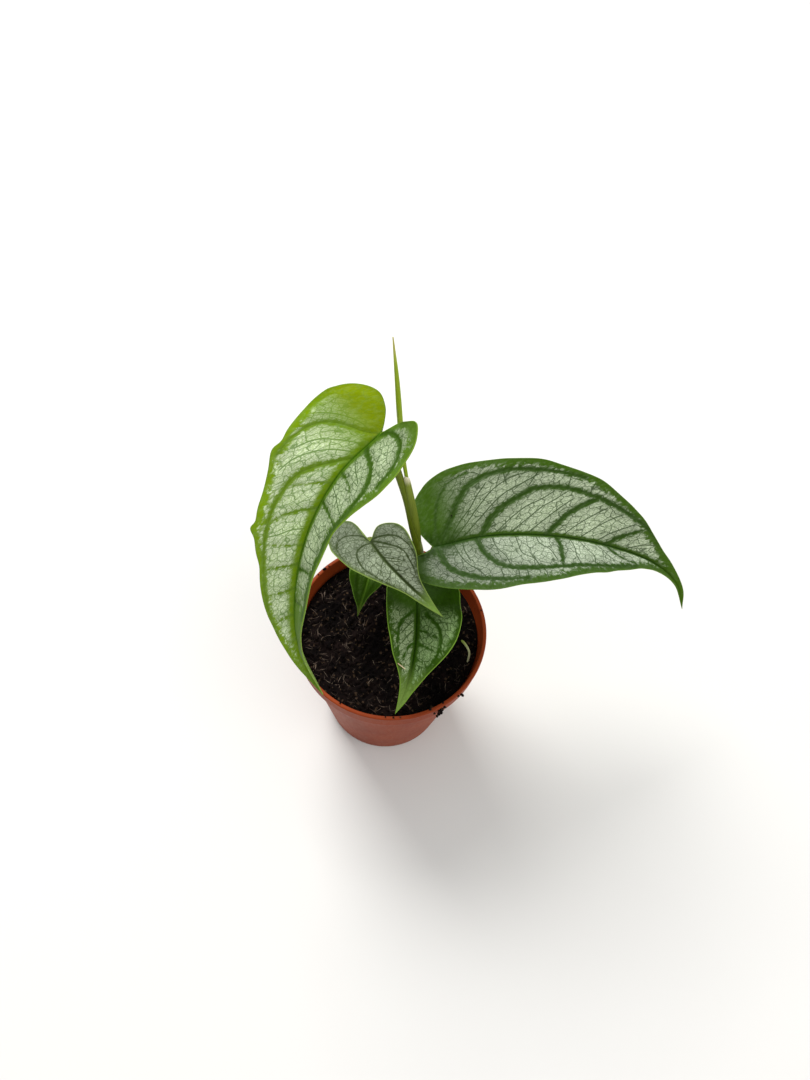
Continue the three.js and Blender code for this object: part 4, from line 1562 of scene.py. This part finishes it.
@dataclass
class NewLeaf:
    """The new leaf, still rolled on itself into a spear, with the step of its outer edge, mm."""

    path: Path = (
        (2.9, 16.15, 99.5, 0.45), (0.85, 15.95, 112, 0.5), (-0.85, 15.7, 124, 0.55),
        (-2.25, 15, 139, 0.72), (-3.5, 13.4, 155, 0.55), (-4.9, 11.6, 170.4, 0.14),
    )
    step: float = 0.2
    roll_from: float = 118
    sides: int = 40
    skin: StalkSkin = StalkSkin("Leaf_RolledYoung", 0.42, low="#7c9412", high="#8ca41c", end="#b3ae58")

    def make(self) -> None:
        """Builds the spear: a round stalk whose section opens into one turn of a spiral higher up."""
        surface = Surface()
        nodes = Spline(self.path).at(np.linspace(0, 1, 200))
        open_roll = ease(nodes[:, 2], self.roll_from, self.roll_from + 8)[:, None]
        turn = np.linspace(-0.5, 0.5, self.sides, endpoint=False)[None, :]
        radii = nodes[:, 3:] * (1 + self.step * open_roll * turn)
        surface.tube(nodes[:, :3], radii, self.sides)
        surface.build("new_leaf_rolled", "rolled_leaf", [self.skin.dress()], "new_leaf")


@dataclass
class Seedling:
    """The pale sprout at the right of the soil, with its bowed green tip, mm."""

    path: Path = (
        (24.9, -6.6, 48, 0.32), (25, -6.4, 50.6, 0.32), (25.1, -4.6, 52.3, 0.34), (23.8, -2.4, 52.9, 0.4),
        (22.3, -1, 53.1, 0.42),
    )
    skin: StalkSkin = StalkSkin(
        "Sprout_Pale", 0.5, low="#aca886", high="#a3aa7a", end="#7d8f3a", end_from=0.6
    )

    def make(self) -> None:
        """Builds the sprout as a tube with a rounded tip."""
        surface = Surface()
        nodes = Spline(self.path).along(np.linspace(0, 1, 60))
        walked = np.linspace(0, 1, 60)
        nodes[:, 3] *= np.sqrt(np.clip(1 - ease(walked, 0.9, 1.0) ** 2 * 0.9, 0.1, 1))
        surface.tube(nodes[:, :3], nodes[:, 3], 20)
        surface.build("seedling_grown", "seedling", [self.skin.dress()], "seedling")


# The leaves

LEFT_SHAPE = BladeShape(
    midrib=(
        (-6.5, 12, 136.9), (-15.8, 4.8, 128.2), (-22.2, -3.3, 116), (-25.2, -12.1, 101.2),
        (-24.3, -20.9, 83.7), (-17, -28.5, 66.1),
    ),
    faces=((-0.41, -0.55, 0.73), (-0.6, -0.6, 0.45)),
    margins=(
        (
            (-0.03, 1.2), (-0.07, 3), (-0.1, 7), (-0.07, 11.8), (0, 15), (0.08, 16.8), (0.15, 15.8),
            (0.2, 14.5), (0.3, 12.5), (0.4, 12.3), (0.5, 11.8), (0.6, 10.2), (0.7, 8), (0.8, 5.4),
            (0.9, 2.8),
        ),
        (
            (-0.03, 1.4), (-0.06, 3.8), (-0.075, 7.6), (-0.05, 12), (0, 15.3), (0.08, 17.2), (0.16, 16.9),
            (0.19, 16.2), (0.215, 16.6), (0.25, 16.1), (0.31, 15), (0.36, 14.3), (0.4, 13.8), (0.425, 14.6),
            (0.45, 13.3), (0.49, 12.3), (0.53, 10.8), (0.61, 9.5), (0.7, 7.5), (0.76, 5.6), (0.8, 4.4),
            (0.9, 2.5),
        ),
    ),
    folds=((33, 38), (18, 24)),
    wave=0.7,
    waves=5,
    stalk=(
        (7.9, 15.8, 60, 1.65), (6.1, 16.2, 77, 1.4), (3.8, 16.3, 88, 1.15), (1.15, 16.3, 102.5, 1.05),
        (-1.7, 15.6, 115.6, 1.05), (-4.8, 15.1, 129, 1),
    ),
)

RIGHT_SHAPE = BladeShape(
    midrib=(
        (10.3, 15.5, 80), (26, 19.7, 82.4), (42.7, 21.9, 82.4), (59.9, 22.5, 79.8), (77.6, 20.8, 74.6),
        (85.8, 16.6, 70.2), (88.7, 11.2, 65),
    ),
    faces=((0, -0.05, 1), (0, -0.08, 1)),
    margins=(
        (
            (-0.02, 2.6), (-0.04, 6.5), (-0.05, 11.6), (-0.03, 15.4), (0.02, 19.4), (0.1, 22.3),
            (0.2, 23.6), (0.3, 22.9), (0.4, 23), (0.5, 20.4), (0.6, 16.7), (0.7, 11.7), (0.79, 5.2),
            (0.84, 3.2), (0.9, 1.6), (0.95, 1),
        ),
        (
            (-0.02, 1.4), (-0.055, 2), (-0.085, 2.8), (-0.1, 5.2), (-0.08, 9.5), (0, 14.4), (0.1, 18),
            (0.2, 20), (0.3, 19.5), (0.4, 17.7), (0.5, 15.2), (0.6, 11.9), (0.68, 8.6), (0.74, 5.8),
            (0.8, 3.4), (0.86, 1.9), (0.93, 1),
        ),
    ),
    folds=((12, 30), (8, 36)),
    wave=0.6,
    waves=4,
    stalk=(
        (8.1, 15.3, 56.6, 0.95), (10.7, 16.4, 60.4, 0.9), (11.6, 17.1, 66.5, 0.85),
        (11.3, 17.3, 72.5, 0.85), (10.5, 16.6, 77, 0.85),
    ),
)

SILVER_SHAPE = BladeShape(
    midrib=(
        (-8.3, 13.1, 84), (-2.9, 5.3, 86.3), (2.8, 0.9, 84.2), (8.8, -1.9, 79.9), (15, -4.4, 74.5),
    ),
    faces=((-0.45, 0.15, 1), (0, -0.2, 1)),
    margins=(
        (
            (-0.01, 1), (-0.045, 2.7), (-0.063, 4.7), (-0.03, 7), (0.04, 8.9), (0.12, 9.9), (0.2, 10.2),
            (0.3, 9.6), (0.4, 8), (0.5, 5.7), (0.6, 3.5), (0.7, 2.2), (0.85, 0.9),
        ),
        (
            (-0.1, 0.4), (-0.22, 0.3), (-0.31, 1.5), (-0.35, 5.6), (-0.3, 9), (-0.15, 10.9), (0, 11.1),
            (0.1, 10.6), (0.2, 9.6), (0.3, 7.8), (0.4, 5.8), (0.5, 4), (0.6, 2.8), (0.75, 1.8), (0.88, 0.9),
        ),
    ),
    folds=((14, 18), (14, 16)),
    wave=0.3,
    waves=3,
    stalk=(
        (7.9, 15.2, 55.6, 0.85), (4.4, 16.6, 60.6, 0.75), (0, 17.4, 69.5, 0.7), (-5.2, 16.6, 78, 0.7),
        (-8.8, 14.8, 82, 0.7),
    ),
)

FRONT_SHAPE = BladeShape(
    midrib=(
        (6.7, 10, 67), (7.5, -2.3, 68.8), (7.8, -12.8, 67.8), (6.7, -21.6, 63.8), (3.9, -29.1, 58),
    ),
    faces=((0.15, -0.1, 1), (0.2, -0.1, 1)),
    margins=(
        (
            (-0.05, 1.8), (-0.09, 3.6), (-0.08, 6.4), (0, 10.5), (0.1, 12.7), (0.2, 13.3), (0.3, 13.3),
            (0.4, 12.8), (0.5, 11), (0.6, 7.6), (0.7, 4.5), (0.8, 2.4), (0.9, 1.3),
        ),
        (
            (-0.04, 1.6), (-0.07, 3.2), (-0.06, 6), (0, 8.6), (0.1, 9.9), (0.2, 10.1), (0.3, 10.1),
            (0.4, 9.4), (0.5, 8.2), (0.6, 6.5), (0.7, 4.1), (0.8, 2.2), (0.9, 0.9),
        ),
    ),
    folds=((20, 27), (13, 20)),
    wave=0.35,
    waves=4,
    stalk=(
        (8.4, 14.9, 54.6, 0.85), (7.7, 12.8, 59, 0.75), (6.9, 11.9, 63.4, 0.7),
    ),
)

SMALL_SHAPE = BladeShape(
    midrib=(
        (-8.1, 17.4, 64), (-8.3, 10, 65.4), (-9.4, 4.9, 62.9), (-10.5, 1.4, 57.5),
    ),
    faces=((0, 0.1, 1), (0.1, -0.1, 1)),
    margins=(
        (
            (-0.06, 1.2), (-0.09, 2.8), (0, 4.6), (0.15, 6), (0.3, 5.8), (0.45, 3.9), (0.6, 1.9),
            (0.8, 0.7),
        ),
        (
            (-0.06, 1.2), (-0.09, 2.8), (0, 4.4), (0.15, 5.6), (0.3, 6.1), (0.45, 5.6), (0.6, 3.8),
            (0.8, 1.1),
        ),
    ),
    folds=((12, 22), (12, 20)),
    wave=0.2,
    waves=3,
    stalk=(
        (8.6, 14.7, 53.4, 0.75), (4, 17.4, 57, 0.65), (-2, 19.4, 60.5, 0.6), (-6.4, 19.6, 62.4, 0.6),
    ),
)

LEFT_VEINS = (
    Veins(
        mains=(
            (1, (
                (0, 0.2), (-0.022, 2.5), (-0.033, 5.5), (-0.03, 8.5), (-0.01, 11.2), (0.03, 13.4),
                (0.08, 14.6),
            )),
            (1, (
                (0.055, 0.2), (0.063, 2.5), (0.066, 6), (0.078, 9.2), (0.105, 11.8), (0.15, 12.9),
                (0.21, 13), (0.3, 11.3), (0.4, 10.9), (0.5, 10.4), (0.6, 9.3),
            )),
            (0.5, ((0.155, 0.5), (0.152, 4), (0.155, 7), (0.17, 10), (0.175, 12))),
            (0.8, ((0.258, 0.5), (0.256, 4), (0.255, 8), (0.258, 11.5))),
            (0.7, ((0.49, 0.8), (0.47, 4), (0.45, 8), (0.437, 10.8))),
            (0.5, ((0.6, 0.8), (0.585, 4), (0.57, 7))),
        ),
        thins=(
            ((0.2, 1), (0.205, 5), (0.215, 9), (0.22, 12)),
            ((0.1, 1.5), (0.115, 5), (0.125, 9)),
            ((0.32, 1), (0.33, 5), (0.33, 8)),
            ((0.38, 1), (0.385, 5), (0.375, 9)),
            ((0.42, 1), (0.425, 6), (0.41, 9.5)),
            ((0.53, 1), (0.52, 5), (0.5, 9)),
            ((0.66, 0.5), (0.65, 4)),
            ((0.72, 0.5), (0.7, 3.5)),
        ),
        lean=0.2,
    ),
    Veins(
        mains=(
            (1, (
                (0.005, 0.3), (0.03, 2.8), (0.05, 6), (0.08, 10), (0.12, 13), (0.165, 14.6), (0.22, 15.2),
            )),
            (1, (
                (0.11, 0.4), (0.15, 3), (0.19, 6), (0.235, 8.7), (0.285, 10), (0.34, 10.6), (0.42, 10.4),
                (0.5, 9.8), (0.56, 9), (0.65, 7.8), (0.75, 5.6),
            )),
            (0.45, ((0.2, 0.4), (0.225, 3.5), (0.255, 7), (0.29, 9.8))),
            (0.7, ((0.29, 0.4), (0.315, 3.5), (0.35, 7), (0.385, 9.8))),
            (0.4, ((0.415, 0.4), (0.43, 3.5), (0.445, 7), (0.455, 9.8))),
            (0.65, ((0.48, 0.4), (0.5, 3.5), (0.52, 7), (0.535, 9.3))),
            (0.6, ((0.565, 0.4), (0.59, 3.5), (0.61, 7))),
            (0.5, ((0.66, 0.4), (0.685, 3.5), (0.71, 6))),
            (0.4, ((0.75, 0.4), (0.78, 2.5), (0.8, 3.6))),
        ),
        thins=(
            ((0.06, 1.5), (0.1, 6), (0.14, 10), (0.18, 12.5)),
            ((0.09, 1), (0.13, 5.5), (0.17, 9), (0.21, 11.5), (0.25, 13)),
            ((0.02, 1), (0.02, 5), (0.05, 10), (0.09, 14)),
            ((0.36, 1), (0.38, 4), (0.41, 7), (0.43, 9.6)),
        ),
        lean=0.8,
    ),
)

RIGHT_VEINS = (
    Veins(
        mains=(
            (1.1, (
                (0.03, 0.4), (0.05, 3), (0.075, 6.5), (0.1, 10), (0.125, 13), (0.155, 16.3), (0.2, 18.7),
                (0.26, 19.6), (0.34, 19.7), (0.43, 20), (0.5, 18.8),
            )),
            (1.1, (
                (0.17, 0.4), (0.19, 3.5), (0.22, 6.5), (0.26, 9.5), (0.3, 11.5), (0.345, 13.8), (0.4, 15),
                (0.46, 15.1), (0.52, 14), (0.58, 12.7), (0.64, 11.5), (0.7, 9.8), (0.75, 8), (0.79, 5.8),
            )),
            (1, ((0.39, 0.4), (0.42, 3.5), (0.45, 6.5), (0.49, 9.5), (0.525, 12), (0.545, 13))),
            (0.8, ((0.6, 0.5), (0.64, 3.2), (0.68, 5.5), (0.71, 7.6))),
            (0.35, ((0.005, 0.4), (0.02, 5), (0.035, 10), (0.06, 14.5), (0.1, 18), (0.16, 20.5))),
        ),
        thins=(
            ((0.06, 1), (0.1, 5), (0.15, 9.5), (0.175, 13), (0.2, 16)),
            ((0.08, 1), (0.13, 5), (0.18, 10), (0.22, 14), (0.27, 17), (0.33, 19)),
            ((0.11, 1), (0.17, 5.5), (0.22, 10), (0.26, 13), (0.31, 15.5), (0.36, 18.5)),
            ((0.22, 1), (0.27, 5), (0.32, 8.5), (0.37, 11), (0.41, 13.8)),
            ((0.27, 1), (0.32, 4.5), (0.37, 8.5), (0.41, 11), (0.45, 14)),
            ((0.33, 1), (0.37, 4), (0.42, 8), (0.47, 12)),
            ((0.45, 1), (0.5, 5), (0.54, 8), (0.58, 11)),
            ((0.51, 1), (0.56, 5), (0.6, 8), (0.64, 10.5)),
            ((0.57, 1), (0.61, 4), (0.66, 7), (0.69, 9)),
            ((0.68, 1), (0.73, 3.5), (0.77, 5)),
            ((0.26, 16), (0.255, 19.5)),
            ((0.33, 15), (0.36, 19.8)),
            ((0.45, 15), (0.46, 19)),
            ((0.52, 14.5), (0.53, 17.5)),
        ),
        lean=0.8,
    ),
    Veins(
        mains=(
            (1, (
                (0.012, 0.3), (0.018, 3), (0.025, 6), (0.04, 9), (0.07, 11.7), (0.11, 13.8), (0.16, 15.5),
                (0.22, 17), (0.3, 17.6),
            )),
            (1.1, (
                (0.15, 0.3), (0.155, 3), (0.165, 6), (0.185, 9), (0.22, 11.8), (0.26, 13.2), (0.32, 13.6),
                (0.4, 12.9), (0.48, 12), (0.56, 10.6), (0.63, 8.8), (0.7, 6.5),
            )),
            (0.8, ((0.42, 0.3), (0.43, 3.5), (0.43, 7), (0.428, 11), (0.427, 13))),
            (0.6, ((0.6, 0.3), (0.62, 2.5), (0.66, 4.5), (0.71, 5.6))),
        ),
        thins=(
            ((0.28, 0.6), (0.285, 4), (0.295, 8), (0.33, 10), (0.345, 12.5)),
            ((0.2, 1), (0.21, 5), (0.235, 8.5), (0.245, 11.5)),
            ((0.35, 1), (0.36, 4), (0.39, 6), (0.41, 10)),
            ((0.5, 1), (0.52, 4), (0.545, 7), (0.545, 9.8)),
            ((0.07, 1), (0.08, 5), (0.1, 9), (0.13, 12), (0.15, 14.5)),
            ((0.1, 1), (0.1, 4), (0.11, 8)),
            ((0.47, 1), (0.48, 5), (0.48, 8), (0.49, 11)),
            ((0.56, 1), (0.59, 4), (0.62, 7)),
            ((0.21, 13), (0.215, 16.5)),
            ((0.27, 13.6), (0.27, 17.5)),
            ((0.3, 14), (0.3, 17.4)),
            ((0.36, 13.7), (0.37, 17)),
        ),
        lean=0.15,
    ),
)

SILVER_VEINS = (
    Veins(
        mains=(
            (1, (
                (0, 0.4), (0.04, 3), (0.1, 5.2), (0.18, 7.3), (0.26, 8), (0.36, 7.9), (0.45, 6.6),
                (0.55, 4.6),
            )),
            (1, (
                (0.02, 0.4), (0.1, 2.2), (0.18, 3.8), (0.26, 5.3), (0.33, 5.9), (0.4, 5.4), (0.48, 4.6),
                (0.56, 3.4), (0.65, 2.4),
            )),
            (0.8, ((0.25, 0.4), (0.33, 2.6), (0.4, 4.2))),
            (0.8, ((0.4, 0.4), (0.45, 2.2), (0.47, 4))),
            (0.4, ((-0.005, 1), (0, 3), (0.04, 5), (0.12, 8))),
        ),
        thins=(
            ((0.12, 1), (0.2, 3.2), (0.26, 4.6)),
            ((0.3, 0.8), (0.37, 3)),
        ),
        lean=0.6,
    ),
    Veins(
        mains=(
            (1, (
                (0.03, 0.4), (0.025, 2.5), (0.045, 4.5), (0.1, 5.9), (0.18, 6.6), (0.27, 6.5), (0.34, 5.6),
                (0.42, 4.5), (0.5, 3.5),
            )),
            (1, (
                (-0.01, 0.3), (-0.08, 1), (-0.13, 3), (-0.165, 5.2), (-0.16, 7.5), (-0.1, 9.3), (0, 10),
                (0.1, 9.9),
            )),
            (0.8, ((0.145, 0.5), (0.155, 2.5), (0.185, 5), (0.19, 6.4))),
            (0.8, ((0.27, 0.5), (0.3, 2.2), (0.345, 4), (0.355, 5))),
            (0.6, ((-0.03, 0.3), (-0.15, 0.9), (-0.23, 2.5), (-0.27, 5), (-0.26, 7.5), (-0.2, 9.4))),
        ),
        thins=(
            ((-0.02, 0.6), (-0.06, 3), (-0.09, 6), (-0.08, 9)),
            ((0.04, 7), (0.02, 9.5)),
            ((0.27, 6.6), (0.265, 8.3)),
            ((0.37, 1), (0.4, 2.5), (0.4, 4)),
        ),
        lean=0.3,
    ),
)

FRONT_VEINS = (
    Veins(
        mains=(
            (1, ((0.28, 3), (0.33, 5), (0.4, 7), (0.5, 7.5), (0.57, 6.5), (0.65, 4.5))),
            (0.8, ((0.4, 1), (0.42, 4), (0.45, 6))),
            (0.8, ((0.5, 1), (0.51, 3), (0.53, 5.5))),
            (0.6, ((0.6, 1), (0.61, 3))),
        ),
        lean=0.4,
    ),
    Veins(
        mains=(
            (1, ((0.25, 1), (0.3, 3), (0.35, 5), (0.42, 6), (0.5, 6), (0.6, 5))),
            (0.8, ((0.49, 0.5), (0.52, 2), (0.56, 3), (0.62, 3.5))),
        ),
        thins=(
            ((0.33, 1), (0.38, 3), (0.44, 5)),
            ((0.4, 1), (0.45, 3), (0.5, 4.5)),
        ),
        lean=0.6,
    ),
)

SMALL_VEINS = (
    Veins(
        mains=(
            (1, ((0.05, 0.3), (0.15, 2), (0.3, 3.2), (0.5, 1.8), (0.7, 0.8))),
        ),
        lean=0.5,
    ),
    Veins(
        mains=(
            (1, ((0.05, 0.3), (0.15, 2), (0.3, 3.4), (0.5, 3), (0.7, 1.5))),
        ),
        lean=0.5,
    ),
)


# The finishes of the leaves, after the colours of the real ones

LEFT_FACE = LeafFace(
    "Leaf_Skin_Left", 0.42,
    palettes=(
        Palette("#4e6e1a", "#2a4408", "#acba9a", "#6c8550", "#2c4612", "#32500e"),
        # Half 1 is lighter and yellower than half 0, partly in its own colour and partly as painted light
        # shining through it from behind
        Palette("#789a08", "#4c6c00", "#e6f4ce", "#a8c678", "#62863a", "#6a8a20"),
    ),
    # The lime lobe of half 1 is a painted glow of light shining through it from behind
    rib="#4e7812", edge="#6e8c28", tip="#4c6c00", glow_lime="#809600", glow_lime_ends=(-0.2, 0.03),
    silver_starts=(-0.08, -0.02), silver_ends=(0.6, 0.86), silver_fades=(0.03, 0.2), rib_width=1.8,
    band_width=0.85, edge_width=2.0, broken=0.5, base_dark=0.15, net_cell=1.9, fine_cell=0.75,
)

RIGHT_FACE = LeafFace(
    "Leaf_Skin_Right", 0.42,
    palettes=(
        Palette("#34500e", "#142c00", "#adb99f", "#6a7c58", "#1e320c", "#2a4212"),
        Palette("#36501a", "#162c02", "#aab5a2", "#6a7b5e", "#1f3410", "#2a4216"),
    ),
    rib="#1c3606", edge="#4c6826", tip="#426210", silver_starts=(0.02, -0.06), silver_ends=(0.86, 0.84),
    silver_fades=(0.16, 0.06), band_width=1.0, edge_width=2.2, base_dim=0.6,
)

SILVER_FACE = LeafFace(
    "Leaf_Skin_Silver", 0.42,
    palettes=(
        Palette("#435030", "#2a3618", "#a0ab95", "#75816a", "#323d22", "#303b22"),
        Palette("#4a5a32", "#2a3618", "#a2ae96", "#74826a", "#323e22", "#303b22"),
    ),
    rib="#2e3a1e", edge="#778e42", tip="#729040", silver_starts=(-0.4, -0.4), silver_ends=(0.74, 0.78),
    band_width=0.36, edge_width=0.8, rib_width=0.5, net_cell=1.7, fine_cell=0.7, broken=0.2,
    base_dark=0.1, base_dim=0.6, tip_from=0.6,
)

FRONT_FACE = LeafFace(
    "Leaf_Skin_Front", 0.44,
    palettes=(
        Palette("#2b4806", "#102600", "#7f9768", "#4c6a32", "#1e3604", "#284608"),
        Palette("#2e4a0a", "#102600", "#93a37e", "#587040", "#203806", "#2a480a"),
    ),
    # The pale tip is partly the leaf's own colour and partly painted light on the tip
    rib="#1a3402", edge="#6a8c30", tip="#6f8a40", silver_starts=(0.2, 0.2), silver_ends=(0.8, 0.84),
    silver_fades=(0.16, 0.16), band_width=0.65, edge_width=1.5, net_cell=1.8, base_dim=0.85, tip_from=0.6,
)

SMALL_FACE = LeafFace(
    "Leaf_Skin_Small", 0.44,
    palettes=(Palette("#2d4a05", "#1a3202", "#4f6632", "#3c5419", "#243e03", "#263f04"),) * 2,
    rib="#48661a", edge="#567428", tip="#6a6c34", silver_amount=0.5, silver_starts=(0.1, 0.1),
    silver_ends=(0.8, 0.8), band_width=0.7, edge_width=1.3, net_cell=1.4,
)

# Each leaf's shape, veins and face

LEFT = (LEFT_SHAPE, LEFT_VEINS, LEFT_FACE)
RIGHT = (RIGHT_SHAPE, RIGHT_VEINS, RIGHT_FACE)
SILVER = (SILVER_SHAPE, SILVER_VEINS, SILVER_FACE)
FRONT = (FRONT_SHAPE, FRONT_VEINS, FRONT_FACE)
SMALL = (SMALL_SHAPE, SMALL_VEINS, SMALL_FACE)


@dataclass
class Plant:
    """The whole plant: the five open leaves, the rolled one, the stem and the sprout beside it."""

    def leaves(self) -> list[Leaf]:
        """Lists the open leaves, each with its shape, veins and finishes.

        Returns:
            The leaves.
        """
        back = LeafBack("Leaf_Underside", 0.55, 0.1, tissue="#7a9846", vein="#a6be74")
        dark_back = LeafBack("Leaf_UndersideDark", 0.55, 0.1, tissue="#647c44", vein="#8ba266")
        stalk = StalkSkin("Stalk_Green", 0.45, low="#505d0e", high="#63720f", end="#6f8416")
        knee = StalkSkin("Stalk_PinkKnee", 0.5, low="#525c18", high="#626c20", end="#a08a6c", end_from=0.62)
        sheath = StalkSkin("Sheath_Pale", 0.5, low="#525f0c", high="#76832c", end="#d9d2b6", end_from=0.9)
        return [
            SheathedLeaf("leaf_left", "young_leaf", *LEFT, back, stalk, sheath_skin=sheath),
            Leaf("leaf_right", "silver_green_leaf", *RIGHT, back, knee),
            Leaf("leaf_silver", "silver_leaf", *SILVER, back, stalk, cell=0.25),
            Leaf("leaf_front", "green_leaf", *FRONT, dark_back, stalk, cell=0.25),
            Leaf("leaf_small", "dark_leaf", *SMALL, dark_back, stalk, cell=0.25),
        ]

    def make(self) -> dict[str, Blade]:
        """Builds every piece of the plant.

        Returns:
            The blades by their leaves' names.
        """
        blades = {leaf.name: leaf.make() for leaf in self.leaves()}
        Stem().make()
        NewLeaf().make()
        Seedling().make()
        return blades


@dataclass
class Debris:
    """Peat grains on the rim and on the leaves, and a straw sliver caught on the front leaf, mm.

    Each grain on the rim is its middle and its radius. Each one on a leaf is the leaf's name, the share of
    its midrib, the distance from it, the radius and the tone.
    """

    on_rim: Path = (
        (-22.9, 18.1, 55.3, 0.7), (-21.7, 19.3, 55.2, 0.4), (-24.6, 15.9, 55.2, 0.35),
        (-27.3, 9.2, 52.4, 0.5),
        (23.3, -19.5, 54.2, 0.7), (23.7, -19.2, 53.2, 0.6), (23.9, -19, 52.3, 0.4), (22.4, -20.3, 54.8, 0.5),
        (18.4, -24, 54.3, 0.6), (17.7, -24.6, 53.6, 0.85), (17.3, -25, 52.7, 0.9), (17, -25.4, 51.7, 0.75),
        (16.6, -25.7, 50.8, 0.5), (15.6, -26.1, 53.8, 0.5), (18.9, -23.6, 53.1, 0.4), (17.9, -23, 55.2, 0.5),
        (14.2, -25.5, 55.3, 0.6), (1.2, -29.2, 55.2, 0.35), (3.6, -29.1, 55.2, 0.5), (5.6, -28.8, 55.2, 0.4),
        (-12.5, -26.3, 55.2, 0.3), (-28.6, 5.2, 55.2, 0.35), (12.4, 26.7, 55.2, 0.4), (27.9, 9, 55.2, 0.3),
    )
    on_leaves: tuple[tuple[str | float, ...], ...] = (
        ("leaf_right", 0.085, 8.0, 0.28, 0.5), ("leaf_silver", 0.462, 0.2, 0.3, 1.6),
    )
    seed: int = 9
    grain: Litter = Litter("Debris_Peat", 0.95, 0.08, cell=0.5)

    def make(self, blades: dict[str, Blade]) -> None:
        """Builds the grains as one piece and the sliver as another.

        Args:
            blades: The blades by their leaves' names.
        """
        rng = np.random.default_rng(self.seed)
        surface = Surface()
        for x, y, z, size in self.on_rim:
            lump(surface, (x, y, z), size, rng, tone=0.1)
        for name, share, y, size, tone in self.on_leaves:
            lump(surface, self.on_blade(blades[name], share, y, size), size, rng, tone=tone)
        surface.build("debris_grains", "soil", [self.grain.dress()])
        self.sliver(blades["leaf_front"])

    def on_blade(self, blade: Blade, share: float, y: float, size: float) -> Point:
        """Finds the middle of a grain that lies on the face of a blade's half 0.

        Args:
            blade: The blade.
            share: Share of the midrib.
            y: Distance from the midrib, mm.
            size: The grain's radius, mm.

        Returns:
            The middle, mm.
        """
        x, y = np.array([share * blade.length]), np.array([y])
        return tuple(blade.place(0, x, y)[0] + blade.normal(0, x, y)[0] * (0.35 + 0.4 * size))

    def sliver(self, blade: Blade) -> None:
        """Lays the straw sliver along half 1 of the front leaf.

        Args:
            blade: The front leaf's blade.
        """
        t = np.linspace(0, 1, 14)
        x = (0.675 - 0.03 * t) * blade.length
        y = 2.2 + 2.8 * t
        path = blade.place(1, x, y) + blade.normal(1, x, y) * 0.45
        surface = Surface()
        surface.tube(path, 0.16 * np.sqrt(np.clip(1.02 - (2 * t - 1) ** 4, 0.1, 1)), 8)
        straw = StalkSkin("Straw_Dry", 0.7, low="#d9c8a6", high="#cdb491", end="#c9a58a")
        surface.build("straw_sliver", "soil", [straw.dress()])


@dataclass
class Studio:
    """The photo's viewpoint, mm and degrees, with a plain pale floor, half its side in m, and soft light."""

    eye: Point = (1.8, -124.1, 313.9)
    down: float = 58.9
    roll: float = 5.67
    lens: float = 30.67
    floor: float = 3.0

    def camera(self) -> None:
        """Sets the camera: it looks along (0, cos down, -sin down), turned about that by the roll."""
        down, roll = math.radians(self.down), math.radians(self.roll)
        ahead = Vector((0, math.cos(down), -math.sin(down)))
        up = Vector((0, math.sin(down), math.cos(down)))
        right = Vector((1, 0, 0))
        turned = right * math.cos(roll) + up * math.sin(roll)
        risen = up * math.cos(roll) - right * math.sin(roll)
        data = bpy.data.cameras.new("camera")
        data.lens = self.lens
        data.sensor_width = 36
        data.clip_start = 0.01
        camera = put("camera", data)
        camera.matrix_world = Matrix.Translation(Vector(self.eye) * MM) @ Matrix(
            (turned, risen, -ahead)
        ).transposed().to_4x4()
        bpy.context.scene.camera = camera

    def light(self, name: str, place: Point, size: float, watts: float, colour: str) -> None:
        """Adds a square area light that points at the middle of the plant.

        Args:
            name: The light's name.
            place: Where it stands, m.
            size: Its side, m.
            watts: Its power.
            colour: Its colour, sRGB hex.
        """
        data = bpy.data.lights.new(name, "AREA")
        data.size = size
        data.energy = watts
        data.color = linear(colour)[:3]
        lamp = put(name, data)
        lamp.location = place
        lamp.rotation_euler = (Vector(MIDDLE) - Vector(place)).to_track_quat("-Z", "Y").to_euler()
        lamp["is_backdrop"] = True

    def make(self) -> None:
        """Builds the floor, the world, the lights and the camera."""
        corners = [(self.floor * x, self.floor * y, 0) for x, y in ((-1, -1), (1, -1), (1, 1), (-1, 1))]
        mesh = bpy.data.meshes.new("floor")
        mesh.from_pydata(corners, [], [(0, 1, 2, 3)])
        mesh.materials.append(Plain("Studio_Paper", 0.9).dress())
        floor = put("floor", mesh)
        floor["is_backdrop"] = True
        world = bpy.data.worlds.new("studio")
        world.use_nodes = True
        sky = world.node_tree.nodes["Background"]
        sky.inputs["Color"].default_value = linear("#f5f5f4")
        sky.inputs["Strength"].default_value = 0.7
        bpy.context.scene.world = world
        self.light("window", (-0.35, 0.55, 0.8), 0.5, 11.0, "#fffdf8")
        self.light("fill", (0.7, -0.4, 0.6), 0.8, 4.0, "#fffbf4")
        bpy.context.scene.view_settings.view_transform = "Standard"
        self.camera()


def main() -> None:
    """Builds the potted plant and its studio, and writes its size."""
    logging.basicConfig(level=logging.INFO, format="%(name)s: %(message)s")
    Pot().make()
    Soil().make()
    blades = Plant().make()
    Debris().make(blades)
    Studio().make()
    sizes = {"cad": CAD_BOX, "visual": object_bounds()}
    sizes = {name: [[float(v) for v in corner] for corner in box] for name, box in sizes.items()}
    LOG.info("box before and after: %s", sizes)


if __name__ == "__main__":
    main()
